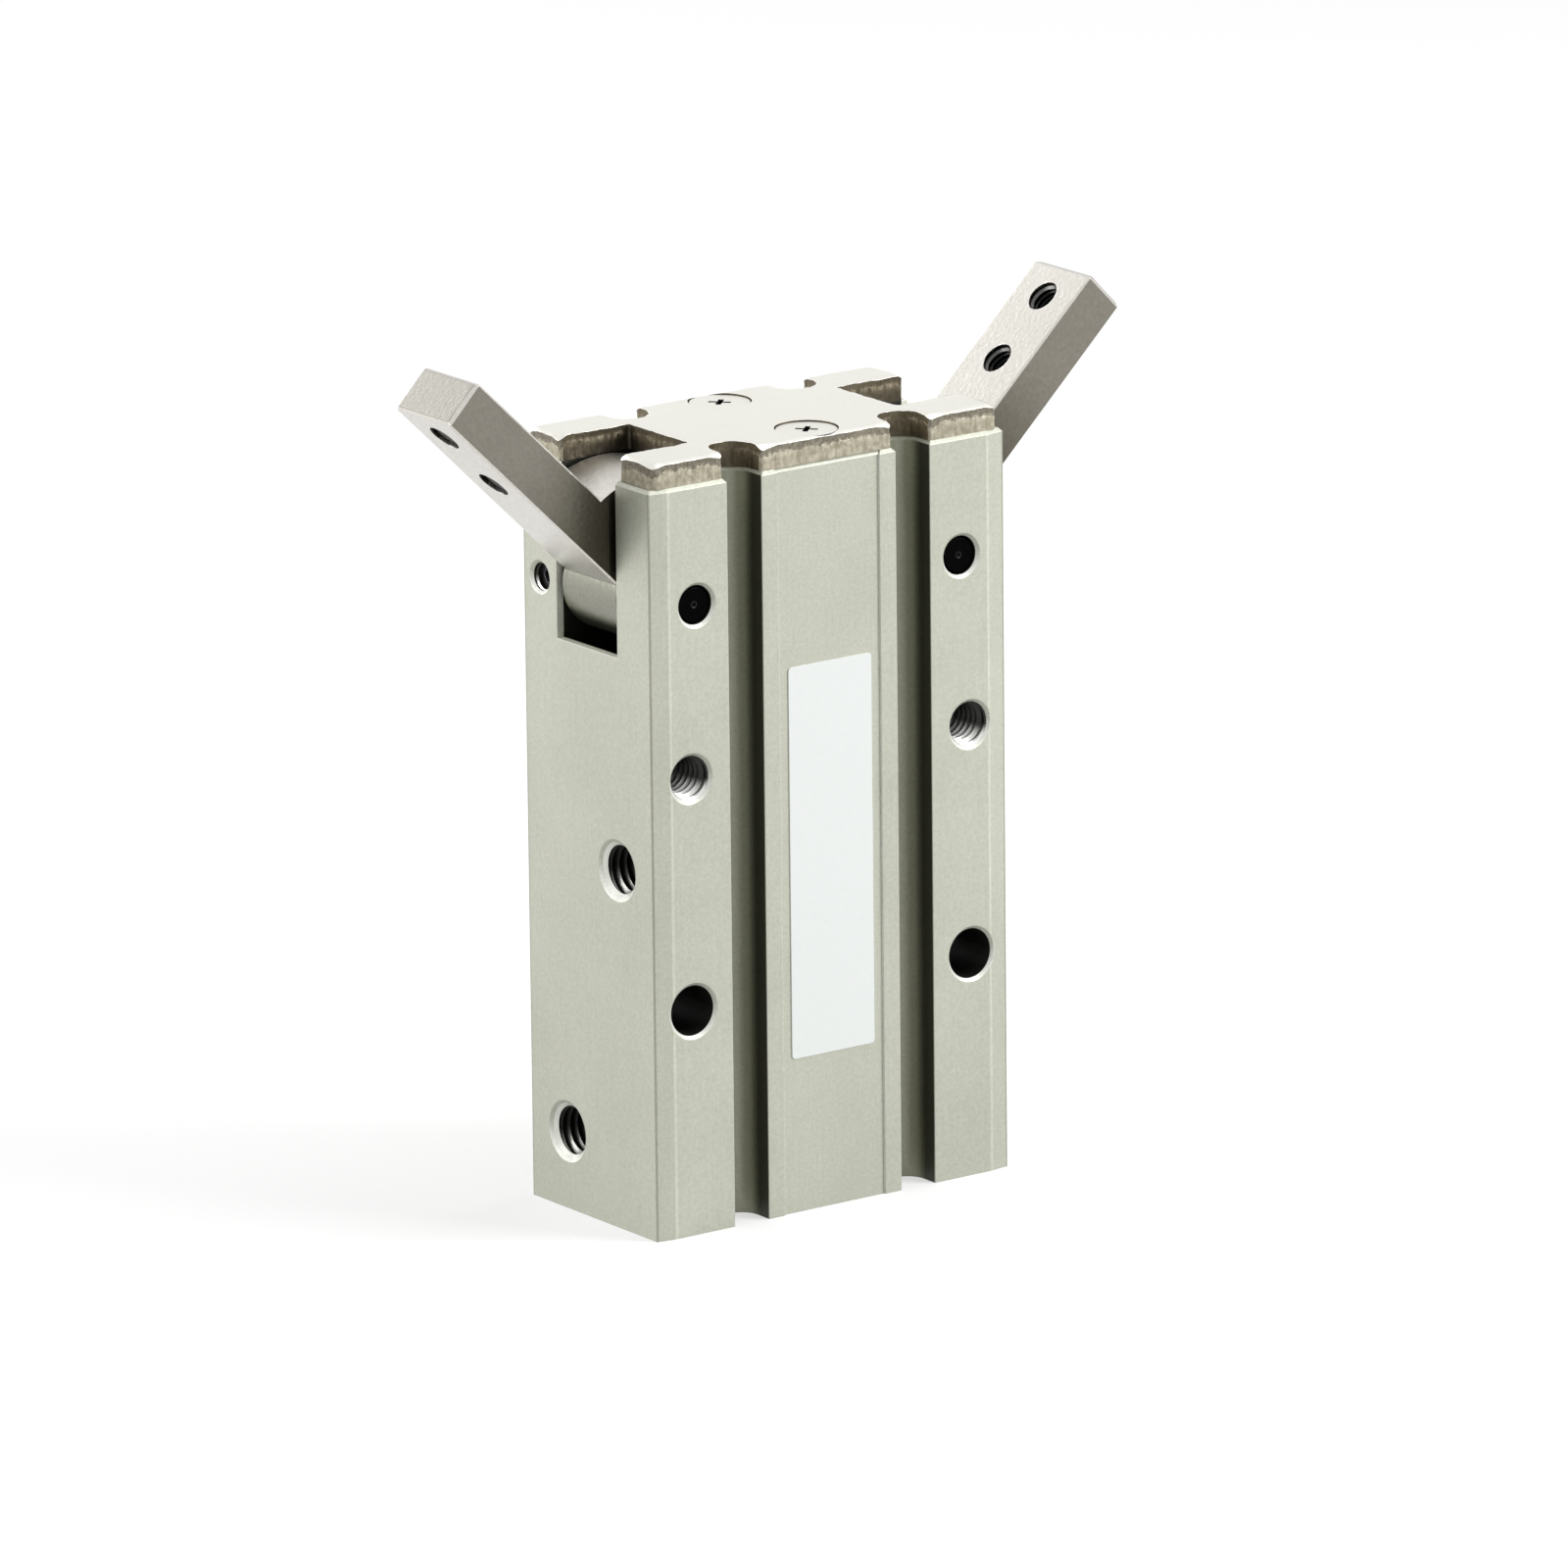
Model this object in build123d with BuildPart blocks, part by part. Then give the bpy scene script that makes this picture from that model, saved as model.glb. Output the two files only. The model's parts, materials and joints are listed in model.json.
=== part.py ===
from build123d import *
from math import cos, radians, sin, sqrt
import os

os.makedirs("parts", exist_ok=True)

# Sizes are in millimetres. X runs along the opening direction, -Y is the
# labelled front, Z runs up the bore, and the origin is the middle of the base.

# Body: a machined length of aluminium extrusion
body_width = 38.0
body_depth = 19.2
body_height = 67.0
corner_bevel_width = 1.9
corner_bevel_depth = 0.3
top_edge_chamfer = 0.3
panel_width = 10.9
panel_recess = 0.2
groove_spacing = 18.04
groove_width = 3.7
groove_depth = 3.6
mouth_chamfer = 0.28
slot_width = 9.0
slot_floor_drop = 15.65
slot_lip = 0.86
flank_drop = 2.9
flank_foot_inset = 0.9

# Fingers, or levers, and the pins they turn on
pivot_spacing = 28.4
pivot_drop = 10.7
pivot_pin_diameter = 3.5
pivot_pin_recess = 0.4
pin_dimple_diameter = 0.5
running_gap = 0.05
finger_width = 8.0
finger_inner = 2.45
finger_outer = 2.05
finger_reach = 28.3
finger_side_edge = 0.15
finger_tip_edge = 0.35
finger_hole_diameter = 3.0
finger_hole_pitch = 7.0
finger_hole_inset = 3.3
hub_radius = 4.5
sector_radius = 10.8
sector_end_angle = 112.0
closed_angle = -1.5
rest_angle = 46.0
open_angle = 90.0

# Cam slots in the levers and the crosshead that works in them
cam_arm = 5.5
cam_open_drop = 1.4
cam_pin_diameter = 2.5
cam_slot_wall = 0.8
cam_points = 13
ear_gap = 4.2
ear_root_radius = 3.0
ear_end_angle = 226.0
crosshead_thickness = 3.8
crosshead_eye_radius = 2.1
boss_diameter = 8.4
boss_drop = 7.4
boss_height = 4.8
stud_diameter = 4.0
stud_length = 4.2
moving_clearance = 0.3

# Bore, piston and rod
bore_diameter = 16.0
fit_gap = 0.02
cap_ring_inset = 0.9
cap_ring_thickness = 1.0
retaining_groove = 0.5
retaining_ring_width = 2.0
ring_opening = 3.2
ring_lug_diameter = 2.6
cap_thickness = 3.5
cap_stop_height = 1.8
cap_stop_diameter = 9.0
o_ring_section = 1.3
rod_diameter = 6.0
rod_cover_thickness = 4.0
rod_cover_clearance = 0.37
cover_stop_height = 2.2
cover_stop_diameter = 10.0
clip_thickness = 0.8
rod_seal_height = 2.0
rod_seal_width = 1.8
bulkhead_hole_diameter = 9.5
stop_gap = 0.3
bumper_thickness = 1.0
bumper_diameter = 10.5
upper_piston_share = 0.16
magnet_share = 0.32
piston_hub_diameter = 7.4
magnet_diameter = 14.4
seal_groove_floor = 12.0
seal_groove_height = 2.6
seal_height = 2.3
spigot_diameter = 4.6
rod_bolt_diameter = 3.0
rod_bolt_head_diameter = 5.5
rod_bolt_head_height = 3.0
rod_bolt_length = 8.0
rod_bolt_web = 1.2
rod_bolt_socket = 2.5

# Ports and mounting holes
port_diameter = 5.0
port_depth = 5.0
passage_diameter = 2.0
port_offset = 4.0
lower_port_rise = 1.6
upper_port_drop = 2.05
mount_spacing = 30.0
tapped_diameter = 4.0
tapped_rise = 2.65
clear_diameter = 4.5
clear_height = 20.2
base_spacing = 25.0
base_depth = 8.0
set_screw_diameter = 2.5
set_screw_length = 2.0
set_screw_offset = 7.0
set_screw_socket = 1.3

# Top plate, its screws and the label
plate_thickness = 2.3
plate_side_inset = 0.5
plate_face_inset = 0.3
plate_corner = 0.7
plate_roll = 0.4
plate_notch_margin = 0.15
plate_slot_half_gap = 11.1
plate_slot_width = 8.8
screw_face_inset = 3.2
screw_diameter = 3.0
screw_head_diameter = 5.4
screw_head_sink = 0.12
screw_length = 8.0
screw_recess_width = 0.5
screw_recess_span = 2.0
screw_recess_depth = 0.9
label_width = 8.9
label_height = 35.2
label_bottom = 13.95
label_thickness = 0.1
label_corner = 0.35

# Places worked out from the sizes above
half_width = body_width / 2
half_depth = body_depth / 2
panel_edge = panel_width / 2
panel_face = half_depth - panel_recess
groove_x = groove_spacing / 2
groove_radius = groove_width / 2
groove_floor = half_depth - groove_depth
groove_centre = groove_floor + groove_radius
screw_spacing = body_depth - 2 * screw_face_inset
bore_radius = bore_diameter / 2
pivot_x = pivot_spacing / 2
pivot_z = body_height - pivot_drop
slot_floor = body_height - slot_floor_drop
cam_x = pivot_x - cam_arm
cam_pin_radius = cam_pin_diameter / 2
cam_slot_radius = cam_pin_radius + running_gap
ear_radius = cam_slot_radius + cam_slot_wall
stroke = cam_arm * radians(open_angle - closed_angle)
rest_lift = cam_arm * radians(rest_angle - closed_angle)
cam_z_closed = pivot_z - cam_open_drop - stroke
cam_z = cam_z_closed + rest_lift
rod_cover_top = cam_z_closed - boss_drop - rod_cover_clearance
rod_cover_bottom = rod_cover_top - rod_cover_thickness
clip_bottom = rod_cover_bottom - clip_thickness
upper_stop = rod_cover_bottom - cover_stop_height
cap_bottom = cap_ring_inset + cap_ring_thickness
cap_top = cap_bottom + cap_thickness
lower_stop = cap_top + cap_stop_height
stop_allowance = stop_gap + bumper_thickness
piston_length = upper_stop - lower_stop - stroke - 2 * stop_allowance
piston_bottom = lower_stop + stop_allowance + rest_lift
piston_top = piston_bottom + piston_length
piston_radius = bore_radius - running_gap
rod_radius = rod_diameter / 2
boss_bottom = cam_z - boss_drop
lower_port_z = cap_top + lower_port_rise
upper_port_z = rod_cover_bottom - upper_port_drop
tapped_z = rod_cover_top + tapped_rise
plate_top = body_height + plate_thickness
retaining_radius = bore_radius + retaining_groove
bore_hole_gap = moving_clearance / 2
ear_tip_radius = pivot_x - moving_clearance - bore_hole_gap


def cam_pin_place(angle, shift=0.0):
    """Place of the cam pin in the lever's own plane, x outwards and y along the
    finger, with the lever at this angle from upright. The pin moves cam_arm for
    each radian of swing, so the slot is an involute; shift moves the point across
    the slot, along its normal."""
    turn = radians(angle)
    height = shift - cam_open_drop - cam_arm * radians(open_angle - angle)
    across = -cam_arm * cos(turn) - height * sin(turn)
    along = -cam_arm * sin(turn) + height * cos(turn)
    return (across, along)


def cam_wall(shift):
    """Points and end tangents of one wall of the cam slot, shift from its middle."""
    step = (open_angle - closed_angle) / (cam_points - 1)
    angles = [closed_angle + step * index for index in range(cam_points)]
    points = [cam_pin_place(angle, shift) for angle in angles]
    tangents = [(cos(radians(angle)), sin(radians(angle))) for angle in (angles[0], angles[-1])]
    return points, tangents


def cavity_outline():
    """Outline of the lever cavity, seen from the front, on the +X side. Its flank
    clears the cam ears of a closed lever, and its floor clears their tips."""
    wall = half_width - slot_lip
    reach = cam_pin_place(closed_angle)
    turn = radians(closed_angle)
    tip_z = pivot_z - reach[0] * sin(turn) + reach[1] * cos(turn)
    floor = tip_z - ear_radius - moving_clearance
    flank_top = slot_floor - flank_drop
    flank_foot = pivot_x - flank_foot_inset
    outline = [
        (0, floor),
        (flank_foot, floor),
        (wall, flank_top),
        (wall, slot_floor),
        (half_width, slot_floor),
        (half_width, body_height),
        (0, body_height),
    ]
    return outline, floor


def label_and_save(piece, name):
    """Name a finished piece and write its STEP file."""
    piece.part.label = name
    export_step(piece.part, "parts/" + name + ".step")
    print(name, round(piece.part.volume, 2))


def turned(name, edge_points):
    """A piece turned about the bore's axis from its section, as radius and height."""
    with BuildPart() as piece:
        with BuildSketch(Plane.XZ) as section:
            with BuildLine() as edge:
                Polyline(*edge_points, close=True)
            make_face()
        revolve(axis=Axis.Z)
    label_and_save(piece, name)


def retaining_ring(name, bottom, thickness):
    """An internal retaining ring for the bore: an open ring with two pierced lugs."""
    with BuildPart() as piece:
        with BuildSketch(Plane.XY.offset(bottom)) as section:
            Circle(retaining_radius - fit_gap)
            Circle(retaining_radius - retaining_ring_width, mode=Mode.SUBTRACT)
            with Locations((retaining_radius / 2, 0)):
                Rectangle(retaining_radius, ring_opening, mode=Mode.SUBTRACT)
            lug_radius = ring_lug_diameter / 2
            lug_y = ring_opening / 2 + lug_radius
            lug_x = sqrt((bore_radius - lug_radius) ** 2 - lug_y**2)
            with Locations((lug_x, -lug_y), (lug_x, lug_y)):
                Circle(lug_radius)
                Circle(lug_radius / 2, mode=Mode.SUBTRACT)
        extrude(amount=thickness)
    label_and_save(piece, name)


def o_ring(name, middle_height):
    """A rubber ring of round section that seals on the bore."""
    with BuildPart() as piece:
        with BuildSketch(Plane.XZ) as section:
            with Locations((bore_radius - o_ring_section / 2, middle_height)):
                Circle(o_ring_section / 2)
        revolve(axis=Axis.Z)
    label_and_save(piece, name)


cavity, cavity_floor = cavity_outline()
magnet_top = piston_top - upper_piston_share * piston_length
magnet_bottom = magnet_top - magnet_share * piston_length
seal_bottom = (piston_bottom + magnet_bottom - seal_groove_height) / 2
head_top = piston_bottom + rod_bolt_head_height
spigot_bottom = head_top + rod_bolt_web
spigot_radius = spigot_diameter / 2
hub_edge = piston_hub_diameter / 2
bolt_head_radius = rod_bolt_head_diameter / 2
bolt_radius = rod_bolt_diameter / 2
seal_floor = seal_groove_floor / 2
seal_top = seal_bottom + seal_groove_height

# The body, with its bore, lever cavity, ports and holes
with BuildPart() as body:
    with BuildSketch(Plane.XY) as profile:
        with BuildLine() as quarter:
            Polyline(
                (0, panel_face),
                (panel_edge, panel_face),
                (panel_edge, half_depth),
                (groove_x - groove_radius, half_depth),
                (groove_x - groove_radius, groove_centre),
            )
            ThreePointArc(
                (groove_x - groove_radius, groove_centre),
                (groove_x, groove_floor),
                (groove_x + groove_radius, groove_centre),
            )
            Polyline(
                (groove_x + groove_radius, groove_centre),
                (groove_x + groove_radius, half_depth),
                (half_width - corner_bevel_width, half_depth),
                (half_width, half_depth - corner_bevel_depth),
                (half_width, 0),
            )
            mirror(about=Plane.XZ)
            mirror(about=Plane.YZ)
        make_face()
    extrude(amount=body_height)
    chamfer(body.faces().sort_by(Axis.Z)[-1].outer_wire().edges(), top_edge_chamfer)

    with BuildSketch(Plane.XY) as bore_section:
        Circle(bore_radius)
    extrude(amount=rod_cover_top, mode=Mode.SUBTRACT)
    with BuildSketch(Plane.XY.offset(cap_ring_inset)) as cap_ring_groove:
        Circle(retaining_radius)
    extrude(amount=cap_ring_thickness, mode=Mode.SUBTRACT)
    with BuildSketch(Plane.XY.offset(clip_bottom)) as clip_groove:
        Circle(retaining_radius)
    extrude(amount=clip_thickness, mode=Mode.SUBTRACT)
    with BuildSketch(Plane.XY.offset(rod_cover_top)) as bulkhead_hole:
        Circle(bulkhead_hole_diameter / 2)
    extrude(amount=cavity_floor - rod_cover_top, mode=Mode.SUBTRACT)

    with BuildSketch(Plane.XZ) as cavity_section:
        with BuildLine() as cavity_edge:
            Polyline(*cavity)
            mirror(about=Plane.YZ)
        make_face()
    extrude(amount=slot_width / 2, both=True, mode=Mode.SUBTRACT)

    with BuildSketch(Plane.XZ) as cross_holes:
        with Locations((-pivot_x, pivot_z), (pivot_x, pivot_z)):
            Circle(pivot_pin_diameter / 2)
        with Locations((-mount_spacing / 2, tapped_z), (mount_spacing / 2, tapped_z)):
            Circle(tapped_diameter / 2)
        with Locations((-mount_spacing / 2, clear_height), (mount_spacing / 2, clear_height)):
            Circle(clear_diameter / 2)
    extrude(amount=half_depth, both=True, mode=Mode.SUBTRACT)

    port_places = [(-port_offset, upper_port_z), (port_offset, lower_port_z)]
    with BuildSketch(Plane.YZ.offset(-half_width)) as port_holes:
        with Locations(*port_places):
            Circle(port_diameter / 2)
    extrude(amount=port_depth, mode=Mode.SUBTRACT)
    with BuildSketch(Plane.YZ.offset(-half_width)) as passages:
        with Locations(*port_places):
            Circle(passage_diameter / 2)
    extrude(amount=half_width - bore_radius / 2, mode=Mode.SUBTRACT)

    for side in (-1, 1):
        with BuildSketch(Plane.YZ.offset(side * pivot_x)) as set_screw_hole:
            with Locations((set_screw_offset, pivot_z)):
                Circle(set_screw_diameter / 2)
        extrude(amount=side * (half_width - pivot_x), mode=Mode.SUBTRACT)

    with BuildSketch(Plane.XY) as base_holes:
        with Locations((-base_spacing / 2, 0), (base_spacing / 2, 0)):
            Circle(tapped_diameter / 2)
    extrude(amount=base_depth, mode=Mode.SUBTRACT)
    with BuildSketch(Plane.XY.offset(body_height)) as screw_holes:
        with Locations((0, -screw_spacing / 2), (0, screw_spacing / 2)):
            Circle(screw_diameter / 2)
    extrude(amount=plate_thickness - screw_head_sink - screw_length, mode=Mode.SUBTRACT)

    mouths = [((0, 0, 0), (0, 0, -1), bore_radius)]
    for side in (-1, 1):
        for face_side in (-1, 1):
            outward = (0, face_side, 0)
            face_y = face_side * half_depth
            mouths.append(((side * pivot_x, face_y, pivot_z), outward, pivot_pin_diameter / 2))
            mouths.append(((side * mount_spacing / 2, face_y, tapped_z), outward, tapped_diameter / 2))
            mouths.append(((side * mount_spacing / 2, face_y, clear_height), outward, clear_diameter / 2))
        mouths.append(((side * base_spacing / 2, 0, 0), (0, 0, -1), tapped_diameter / 2))
        screw_mouth = (side * half_width, set_screw_offset, pivot_z)
        mouths.append((screw_mouth, (side, 0, 0), set_screw_diameter / 2))
    for port_y, port_z in port_places:
        mouths.append(((-half_width, port_y, port_z), (-1, 0, 0), port_diameter / 2))
    for middle, outward, radius in mouths:
        with Locations(Plane(origin=middle, z_dir=outward)):
            Cone(
                radius,
                radius + mouth_chamfer,
                mouth_chamfer,
                align=(Align.CENTER, Align.CENTER, Align.MAX),
                mode=Mode.SUBTRACT,
            )
label_and_save(body, "body")

# The plate over the lever cavity, and its two countersunk screws
with BuildPart() as top_plate:
    with BuildSketch(Plane.XY.offset(body_height)) as plate_outline:
        Rectangle(body_width - 2 * plate_side_inset, body_depth - 2 * plate_face_inset)
        fillet(plate_outline.vertices(), plate_corner)
        notch_radius = groove_radius + plate_notch_margin
        for side in (-1, 1):
            for face_side in (-1, 1):
                with Locations((side * groove_x, face_side * (groove_centre + half_depth / 2))):
                    Rectangle(2 * notch_radius, half_depth, mode=Mode.SUBTRACT)
                with Locations((side * groove_x, face_side * groove_centre)):
                    Circle(notch_radius, mode=Mode.SUBTRACT)
            slot_run = half_width - plate_slot_half_gap
            with Locations((side * (plate_slot_half_gap + slot_run / 2), 0)):
                Rectangle(slot_run, plate_slot_width, mode=Mode.SUBTRACT)
    extrude(amount=plate_thickness)
    rim = top_plate.faces().sort_by(Axis.Z)[-1].outer_wire().edges()
    fillet(rim, plate_roll)
    sink_radius = screw_head_diameter / 2 + screw_head_sink
    with Locations((0, -screw_spacing / 2, plate_top), (0, screw_spacing / 2, plate_top)):
        CounterSinkHole(screw_diameter / 2, sink_radius, plate_thickness, 90)
label_and_save(top_plate, "top_plate")

with BuildPart() as top_plate_screws:
    for face_side in (-1, 1):
        screw_y = face_side * screw_spacing / 2
        with BuildSketch(Plane.YZ) as screw_half:
            with BuildLine() as screw_edge:
                screw_top = plate_top - screw_head_sink
                head_radius = screw_head_diameter / 2
                cone = head_radius - screw_diameter / 2
                Polyline(
                    (screw_y, screw_top),
                    (screw_y + head_radius, screw_top),
                    (screw_y + screw_diameter / 2, screw_top - cone),
                    (screw_y + screw_diameter / 2, screw_top - screw_length),
                    (screw_y, screw_top - screw_length),
                    close=True,
                )
            make_face()
        revolve(axis=Axis((0, screw_y, 0), (0, 0, 1)))
        with BuildSketch(Plane.XY.offset(screw_top)) as recess:
            with Locations((0, screw_y)):
                Rectangle(screw_recess_span, screw_recess_width, rotation=45)
                Rectangle(screw_recess_span, screw_recess_width, rotation=-45)
        extrude(amount=-screw_recess_depth, mode=Mode.SUBTRACT)
label_and_save(top_plate_screws, "top_plate_screws")

# The label, in the shallow panel of the front face
with BuildPart() as label:
    with BuildSketch(Plane.XZ.offset(half_depth - panel_recess)) as label_outline:
        with Locations((0, label_bottom + label_height / 2)):
            RectangleRounded(label_width, label_height, label_corner)
    extrude(amount=label_thickness)
label_and_save(label, "label")

# Two levers, each with its finger, its cam ears and the pin it turns on
for side, side_name in ((-1, "left"), (1, "right")):
    turn = radians(rest_angle)
    lever_plane = Plane(
        origin=(side * pivot_x, 0, pivot_z),
        x_dir=(side * cos(turn), 0, -sin(turn)),
        z_dir=(0, -side, 0),
    )
    with BuildPart() as finger:
        with BuildSketch(lever_plane) as finger_bar:
            with Locations(((finger_outer - finger_inner) / 2, finger_reach / 2)):
                Rectangle(finger_outer + finger_inner, finger_reach)
        extrude(amount=finger_width / 2, both=True)
        along_finger = Axis(lever_plane.origin, lever_plane.y_dir)
        chamfer(finger.faces().sort_by(along_finger)[-1].edges(), finger_tip_edge)
        chamfer(finger.edges().filter_by(along_finger), finger_side_edge)

        ear_back, ear_back_tangents = cam_wall(-ear_radius)
        slot_end = cam_pin_place(closed_angle)
        web_corner = cam_pin_place(closed_angle, ear_radius)
        with BuildSketch(lever_plane) as lever_body:
            Circle(hub_radius)
            with BuildLine() as sector_edge:
                sector_arc = CenterArc((0, 0), sector_radius, 90, sector_end_angle)
                Line((0, 0), sector_arc @ 0)
                Line(sector_arc @ 1, (0, 0))
            make_face()
            with BuildLine() as ear_edge:
                ear_curve = Spline(*ear_back, tangents=ear_back_tangents)
                Polyline(ear_curve @ 1, (0, 0), ear_curve @ 0)
            make_face()
            with Locations(slot_end, cam_pin_place(open_angle)):
                Circle(ear_radius)
            with BuildLine() as web_edge:
                Polyline((0, 0), sector_arc @ 1, web_corner, slot_end, close=True)
            make_face()
            Circle(ear_tip_radius, mode=Mode.INTERSECT)
        extrude(amount=finger_width / 2, both=True)

        with BuildSketch(lever_plane) as ear_slit:
            with BuildLine() as slit_edge:
                slit_span = ear_end_angle - sector_end_angle
                slit_arc = CenterArc((0, 0), pivot_x, 90 + sector_end_angle, slit_span)
                Line((0, 0), slit_arc @ 0)
                Line(slit_arc @ 1, (0, 0))
            make_face()
            Circle(ear_root_radius, mode=Mode.SUBTRACT)
        extrude(amount=ear_gap / 2, both=True, mode=Mode.SUBTRACT)

        outer_wall, outer_tangents = cam_wall(-cam_slot_radius)
        inner_wall, inner_tangents = cam_wall(cam_slot_radius)
        with BuildSketch(lever_plane) as cam_slot:
            with BuildLine() as slot_edge:
                outer_curve = Spline(*outer_wall, tangents=outer_tangents)
                inner_curve = Spline(*inner_wall, tangents=inner_tangents)
                Line(outer_curve @ 0, inner_curve @ 0)
                Line(outer_curve @ 1, inner_curve @ 1)
            make_face()
            with Locations(slot_end, cam_pin_place(open_angle)):
                Circle(cam_slot_radius)
            Circle(pivot_pin_diameter / 2 + running_gap)
        extrude(amount=finger_width / 2, both=True, mode=Mode.SUBTRACT)

        first_hole = finger_reach - finger_hole_inset
        for along in (first_hole, first_hole - finger_hole_pitch):
            hole_plane = Plane(
                origin=lever_plane.from_local_coords(Vector(-finger_inner, along, 0)),
                z_dir=-lever_plane.x_dir,
            )
            with BuildSketch(hole_plane) as finger_hole:
                Circle(finger_hole_diameter / 2)
            extrude(amount=-(finger_inner + finger_outer), mode=Mode.SUBTRACT)
    label_and_save(finger, side_name + "_finger")

    with BuildPart() as pivot_pin:
        with BuildSketch(Plane.XZ) as pin_section:
            with Locations((side * pivot_x, pivot_z)):
                Circle(pivot_pin_diameter / 2)
        extrude(amount=half_depth - pivot_pin_recess, both=True)
        chamfer(pivot_pin.edges(), mouth_chamfer)
        for end in (-1, 1):
            with BuildSketch(Plane.XZ.offset(end * (half_depth - pivot_pin_recess))) as dimple:
                with Locations((side * pivot_x, pivot_z)):
                    Circle(pin_dimple_diameter / 2)
            extrude(amount=-end * pin_dimple_diameter / 2, mode=Mode.SUBTRACT)
    label_and_save(pivot_pin, side_name + "_pivot_pin")

    with BuildPart() as cam_pin:
        with BuildSketch(Plane.XZ) as cam_section:
            with Locations((side * cam_x, cam_z)):
                Circle(cam_pin_radius)
        extrude(amount=finger_width / 2, both=True)
    label_and_save(cam_pin, side_name + "_cam_pin")

# Set screws that lock the pivot pins
with BuildPart() as pivot_set_screws:
    for side in (-1, 1):
        screw_face = side * (pivot_x + pivot_pin_diameter / 2)
        with BuildSketch(Plane.YZ.offset(screw_face)) as set_screw_section:
            with Locations((set_screw_offset, pivot_z)):
                Circle(set_screw_diameter / 2)
        extrude(amount=side * set_screw_length)
        with BuildSketch(Plane.YZ.offset(screw_face + side * set_screw_length)) as socket:
            with Locations((set_screw_offset, pivot_z)):
                RegularPolygon(set_screw_socket / 2, 6, major_radius=False)
        extrude(amount=-side * set_screw_length / 2, mode=Mode.SUBTRACT)
label_and_save(pivot_set_screws, "pivot_set_screws")

# Crosshead: a bar between the cam ears, on a round boss that takes the rod
with BuildPart() as crosshead:
    with BuildSketch(Plane.XZ) as bar:
        with Locations((0, cam_z)):
            SlotCenterToCenter(2 * cam_x, 2 * crosshead_eye_radius)
        with Locations((0, cam_z - boss_drop + boss_height)):
            Rectangle(boss_diameter, boss_drop - boss_height, align=(Align.CENTER, Align.MIN))
    extrude(amount=crosshead_thickness / 2, both=True)
    with BuildSketch(Plane.XY.offset(boss_bottom)) as boss:
        Circle(boss_diameter / 2)
    extrude(amount=boss_height)
    with BuildSketch(Plane.XY.offset(boss_bottom)) as stud_hole:
        Circle(stud_diameter / 2)
    extrude(amount=stud_length, mode=Mode.SUBTRACT)
    with BuildSketch(Plane.XZ) as pin_holes:
        with Locations((-cam_x, cam_z), (cam_x, cam_z)):
            Circle(cam_pin_radius)
    extrude(amount=crosshead_thickness, both=True, mode=Mode.SUBTRACT)
label_and_save(crosshead, "crosshead")

# Rod, with the stud for the crosshead and the spigot that carries the piston
with BuildPart() as piston_rod:
    with BuildSketch(Plane.XY.offset(piston_top)) as rod_section:
        Circle(rod_radius)
    extrude(amount=boss_bottom - piston_top)
    with BuildSketch(Plane.XY.offset(boss_bottom)) as stud_section:
        Circle(stud_diameter / 2)
    extrude(amount=stud_length)
    with BuildSketch(Plane.XY.offset(piston_top)) as spigot_section:
        Circle(spigot_diameter / 2)
    extrude(amount=spigot_bottom - piston_top)
    with BuildSketch(Plane.XY.offset(spigot_bottom)) as bolt_hole:
        Circle(rod_bolt_diameter / 2)
    extrude(amount=rod_bolt_length, mode=Mode.SUBTRACT)
label_and_save(piston_rod, "piston_rod")


# Piston, in two halves that clamp the magnet, with its seal and bumpers
turned(
    "piston_lower",
    [
        (bolt_radius + bore_hole_gap, head_top),
        (bolt_head_radius + bore_hole_gap, head_top),
        (bolt_head_radius + bore_hole_gap, piston_bottom),
        (piston_radius, piston_bottom),
        (piston_radius, seal_bottom),
        (seal_floor, seal_bottom),
        (seal_floor, seal_top),
        (piston_radius, seal_top),
        (piston_radius, magnet_bottom),
        (hub_edge, magnet_bottom),
        (hub_edge, magnet_top),
        (spigot_radius, magnet_top),
        (spigot_radius, spigot_bottom),
        (bolt_radius + bore_hole_gap, spigot_bottom),
    ],
)
turned(
    "piston_upper",
    [
        (spigot_radius, magnet_top),
        (piston_radius, magnet_top),
        (piston_radius, piston_top),
        (spigot_radius, piston_top),
    ],
)
turned(
    "piston_magnet",
    [
        (hub_edge, magnet_bottom),
        (magnet_diameter / 2, magnet_bottom),
        (magnet_diameter / 2, magnet_top),
        (hub_edge, magnet_top),
    ],
)
turned(
    "piston_seal",
    [
        (seal_floor, seal_bottom),
        (bore_radius - fit_gap, seal_bottom),
        (bore_radius - fit_gap, seal_bottom + seal_height / 3),
        (piston_radius - moving_clearance, seal_bottom + seal_height / 2),
        (bore_radius - fit_gap, seal_bottom + 2 * seal_height / 3),
        (bore_radius - fit_gap, seal_bottom + seal_height),
        (seal_floor, seal_bottom + seal_height),
    ],
)
turned(
    "lower_bumper",
    [
        (bolt_head_radius + bore_hole_gap, piston_bottom - bumper_thickness),
        (bumper_diameter / 2, piston_bottom - bumper_thickness),
        (bumper_diameter / 2, piston_bottom),
        (bolt_head_radius + bore_hole_gap, piston_bottom),
    ],
)
turned(
    "upper_bumper",
    [
        (rod_radius, piston_top),
        (bumper_diameter / 2, piston_top),
        (bumper_diameter / 2, piston_top + bumper_thickness),
        (rod_radius, piston_top + bumper_thickness),
    ],
)

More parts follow.
